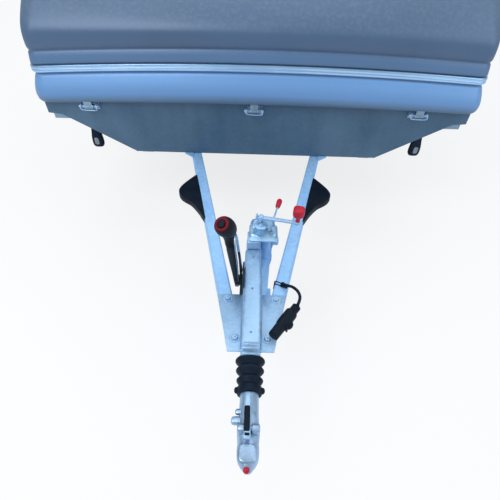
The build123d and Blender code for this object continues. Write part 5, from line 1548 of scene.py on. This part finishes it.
# %% [markdown]
# ## The tail, the sides and the floor
# None of this shows in the main view, so it follows common practice: lamps with a red, an
# amber and a clear field, a blank white plate, amber markers along the frame, toggle catches
# that pull the hood's rear lip down, screws through the floor sheet, ribs across the wheel
# tracks and tie-down eyes.
# %% Build the tail lamps and the catches


def fields(*spans):
    """Lens fields of both tail lamps, each between two places across."""
    return joined(*[pair(block((left, 6054, 622), (right, 6069, 698), 4)) for left, right in spans])


piece("tail_lamp_housings", pair(block((740, 6049, 617), (960, 6060, 703), 5)), plug_plastic,
      "chassis", ["tail_lamps"])
piece("tail_lamp_red", fields((745, 812), (846, 908)), red_lens, "chassis")
piece("tail_lamp_amber", fields((911, 955)), amber_lens, "chassis")
piece("tail_lamp_clear", fields((815, 843)), clear_lens, "chassis")
piece("blank_plate", block((-260, 6050, 617), (260, 6054, 703), 1.6), white_blank,
      "chassis", ["number_plate"])
grown("plate_bolts", bolt, [((x, 6053.5, 660), BACK) for x in (-235, 235)], zinc_bright,
      "chassis", "galvanised", head=0.004, height=0.003, washer=0.006, stud=0.002)
catch_shapes, hook_shapes = [], []
for x in (-620, 620):
    catch_shapes += [
        block((x - 24, 6050, 716), (x + 24, 6056, 790), 2),
        turned([(-26, 5), (26, 5)], (x, 6064, 742), ACROSS, 16),
        *[block((x + left, 6055, 734), (x + left + 5, 6070, 750), 1.5) for left in (-26, 21)],
        swept([(x, 6066, 730), (x, 6072, 752), (x, 6076, 782), (x, 6080, 806)],
              [(15, 3), (17, 3), (15, 3), (12, 2.5)], 4, 16, BACK),
    ]
    hook_shapes.append(block((x - 22, 6072, 792), (x + 22, 6092, 802), 3))
piece("hood_catches", joined(*catch_shapes), zinc_bright, "chassis")
piece("catch_keepers", joined(*hook_shapes), black_coat, "hood")

# %% Set markers, floor screws and tie-down eyes
marker_places = [
    ((side * 1077, s, 738), side * ACROSS) for side in (-1, 1) for s in (2150, 3150, 4900, 5800)
]
grown("side_markers", studs, marker_places, amber_lens, "chassis", "red_lens",
      wide=0.026, long=0.078, high=0.014)
deck_top = 728
screw_places = [
    ((x, s, deck_top), UP) for s in range(1700, 5951, 425) for x in (-1000, -340, 340, 1000)
]
grown("floor_screws", bolt, screw_places, zinc_dark, "chassis", "galvanised",
      head=0.0045, height=0.0022, washer=0.0075, stud=0.001)
eye_shapes = []
for x in (-930, 930):
    for s in (1900, 3100, 4700, 5700):
        eye_shapes += [
            block((x - 32, s - 14, 727), (x + 32, s + 14, 732), 1.5),
            swept([(x - 20, s, 730), (x - 19, s + 4, 744), (x, s + 12, 756), (x + 19, s + 4, 744),
                   (x + 20, s, 730)], (4.5, 4.5), 2, 12, BACK),
        ]
piece("tie_down_eyes", joined(*eye_shapes), zinc_bright, "chassis")
tread_bars = [
    ((x, 1720 + index * 105, deck_top + 0.4), UP) for x in (-690, 690) for index in range(40)
]
grown("floor_ribs", studs, tread_bars, floor_sheet, "chassis", "deck_metal",
      wide=0.36, long=0.012, high=0.005)

# %% Finish the lead
lead.data.materials.append(rubber)
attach(lead, "chassis")
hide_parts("lead")

# %% [markdown]
# ## Floor and light
# A plain pale floor and broad soft lamps, as in a studio with its doors open to the sky.
# The floor is part lit, so that it keeps the trailer's shadow, and part glowing for the
# camera alone, so that it reads as white without more light on the object.
# %% Pale floor
floor_mesh = bpy.data.meshes.new("studio_floor")
floor_mesh.from_pydata([(-60, -60, 0), (60, -60, 0), (60, 60, 0), (-60, 60, 0)], [], [(0, 1, 2, 3)])
floor = placed("studio_floor", floor_mesh)
f = Finish("studio_floor")
lit = f.node("BsdfDiffuse", {"Color": (0.82, 0.85, 0.88, 1)})
glow = f.node("Emission", {"Color": (1, 1, 1, 1), "Strength": 1.0})
seen = f.node("LightPath", out="Is Camera Ray")
f.node_output(f.node("MixShader", {"Fac": seen * 0.78, 1: lit, 2: glow}))
floor_mesh.materials.append(f.material)

# %% World and lamps
world = bpy.data.worlds.new("open_studio")
bpy.context.scene.world = world
world.use_nodes = True
wiring = world.node_tree
wiring.nodes.clear()
path = wiring.nodes.new("ShaderNodeLightPath")
ambient = wiring.nodes.new("ShaderNodeBackground")
ambient.inputs["Color"].default_value = (0.84, 0.92, 1, 1)
ambient.inputs["Strength"].default_value = 0.42
backdrop = wiring.nodes.new("ShaderNodeBackground")
backdrop.inputs["Color"].default_value = (1, 1, 1, 1)
choose = wiring.nodes.new("ShaderNodeMixShader")
world_out = wiring.nodes.new("ShaderNodeOutputWorld")
wiring.links.new(path.outputs["Is Camera Ray"], choose.inputs["Fac"])
wiring.links.new(ambient.outputs["Background"], choose.inputs[1])
wiring.links.new(backdrop.outputs["Background"], choose.inputs[2])
wiring.links.new(choose.outputs["Shader"], world_out.inputs["Surface"])


def lamp(name, place, target, size, power, shade=(1, 1, 1)):
    """A square soft lamp that looks at a place."""
    data = bpy.data.lights.new(name, "AREA")
    data.size = size
    data.energy = power
    data.color = shade
    made = placed(name, data)
    aim = (Vector(target) - Vector(place)).to_track_quat("-Z", "Y")
    made.matrix_world = Matrix.Translation(place) @ aim.to_matrix().to_4x4()


lamp("key_soft", (-3.2, -5.5, 5.5), (0, -1.5, 0.6), 4.0, 250, (0.95, 0.98, 1))
lamp("fill_soft", (5.0, -4.0, 4.0), (0, -1.0, 0.6), 5.0, 120, (0.9, 0.96, 1))
lamp("top_soft", (0, 1.5, 7.5), (0, 1.0, 0), 7.0, 250, (0.95, 0.98, 1))
lamp("tail_soft", (-2.5, 7.5, 4.0), (0, 2.0, 0.8), 4.0, 150, (1, 0.98, 0.95))
bpy.context.scene.view_settings.view_transform = "Standard"
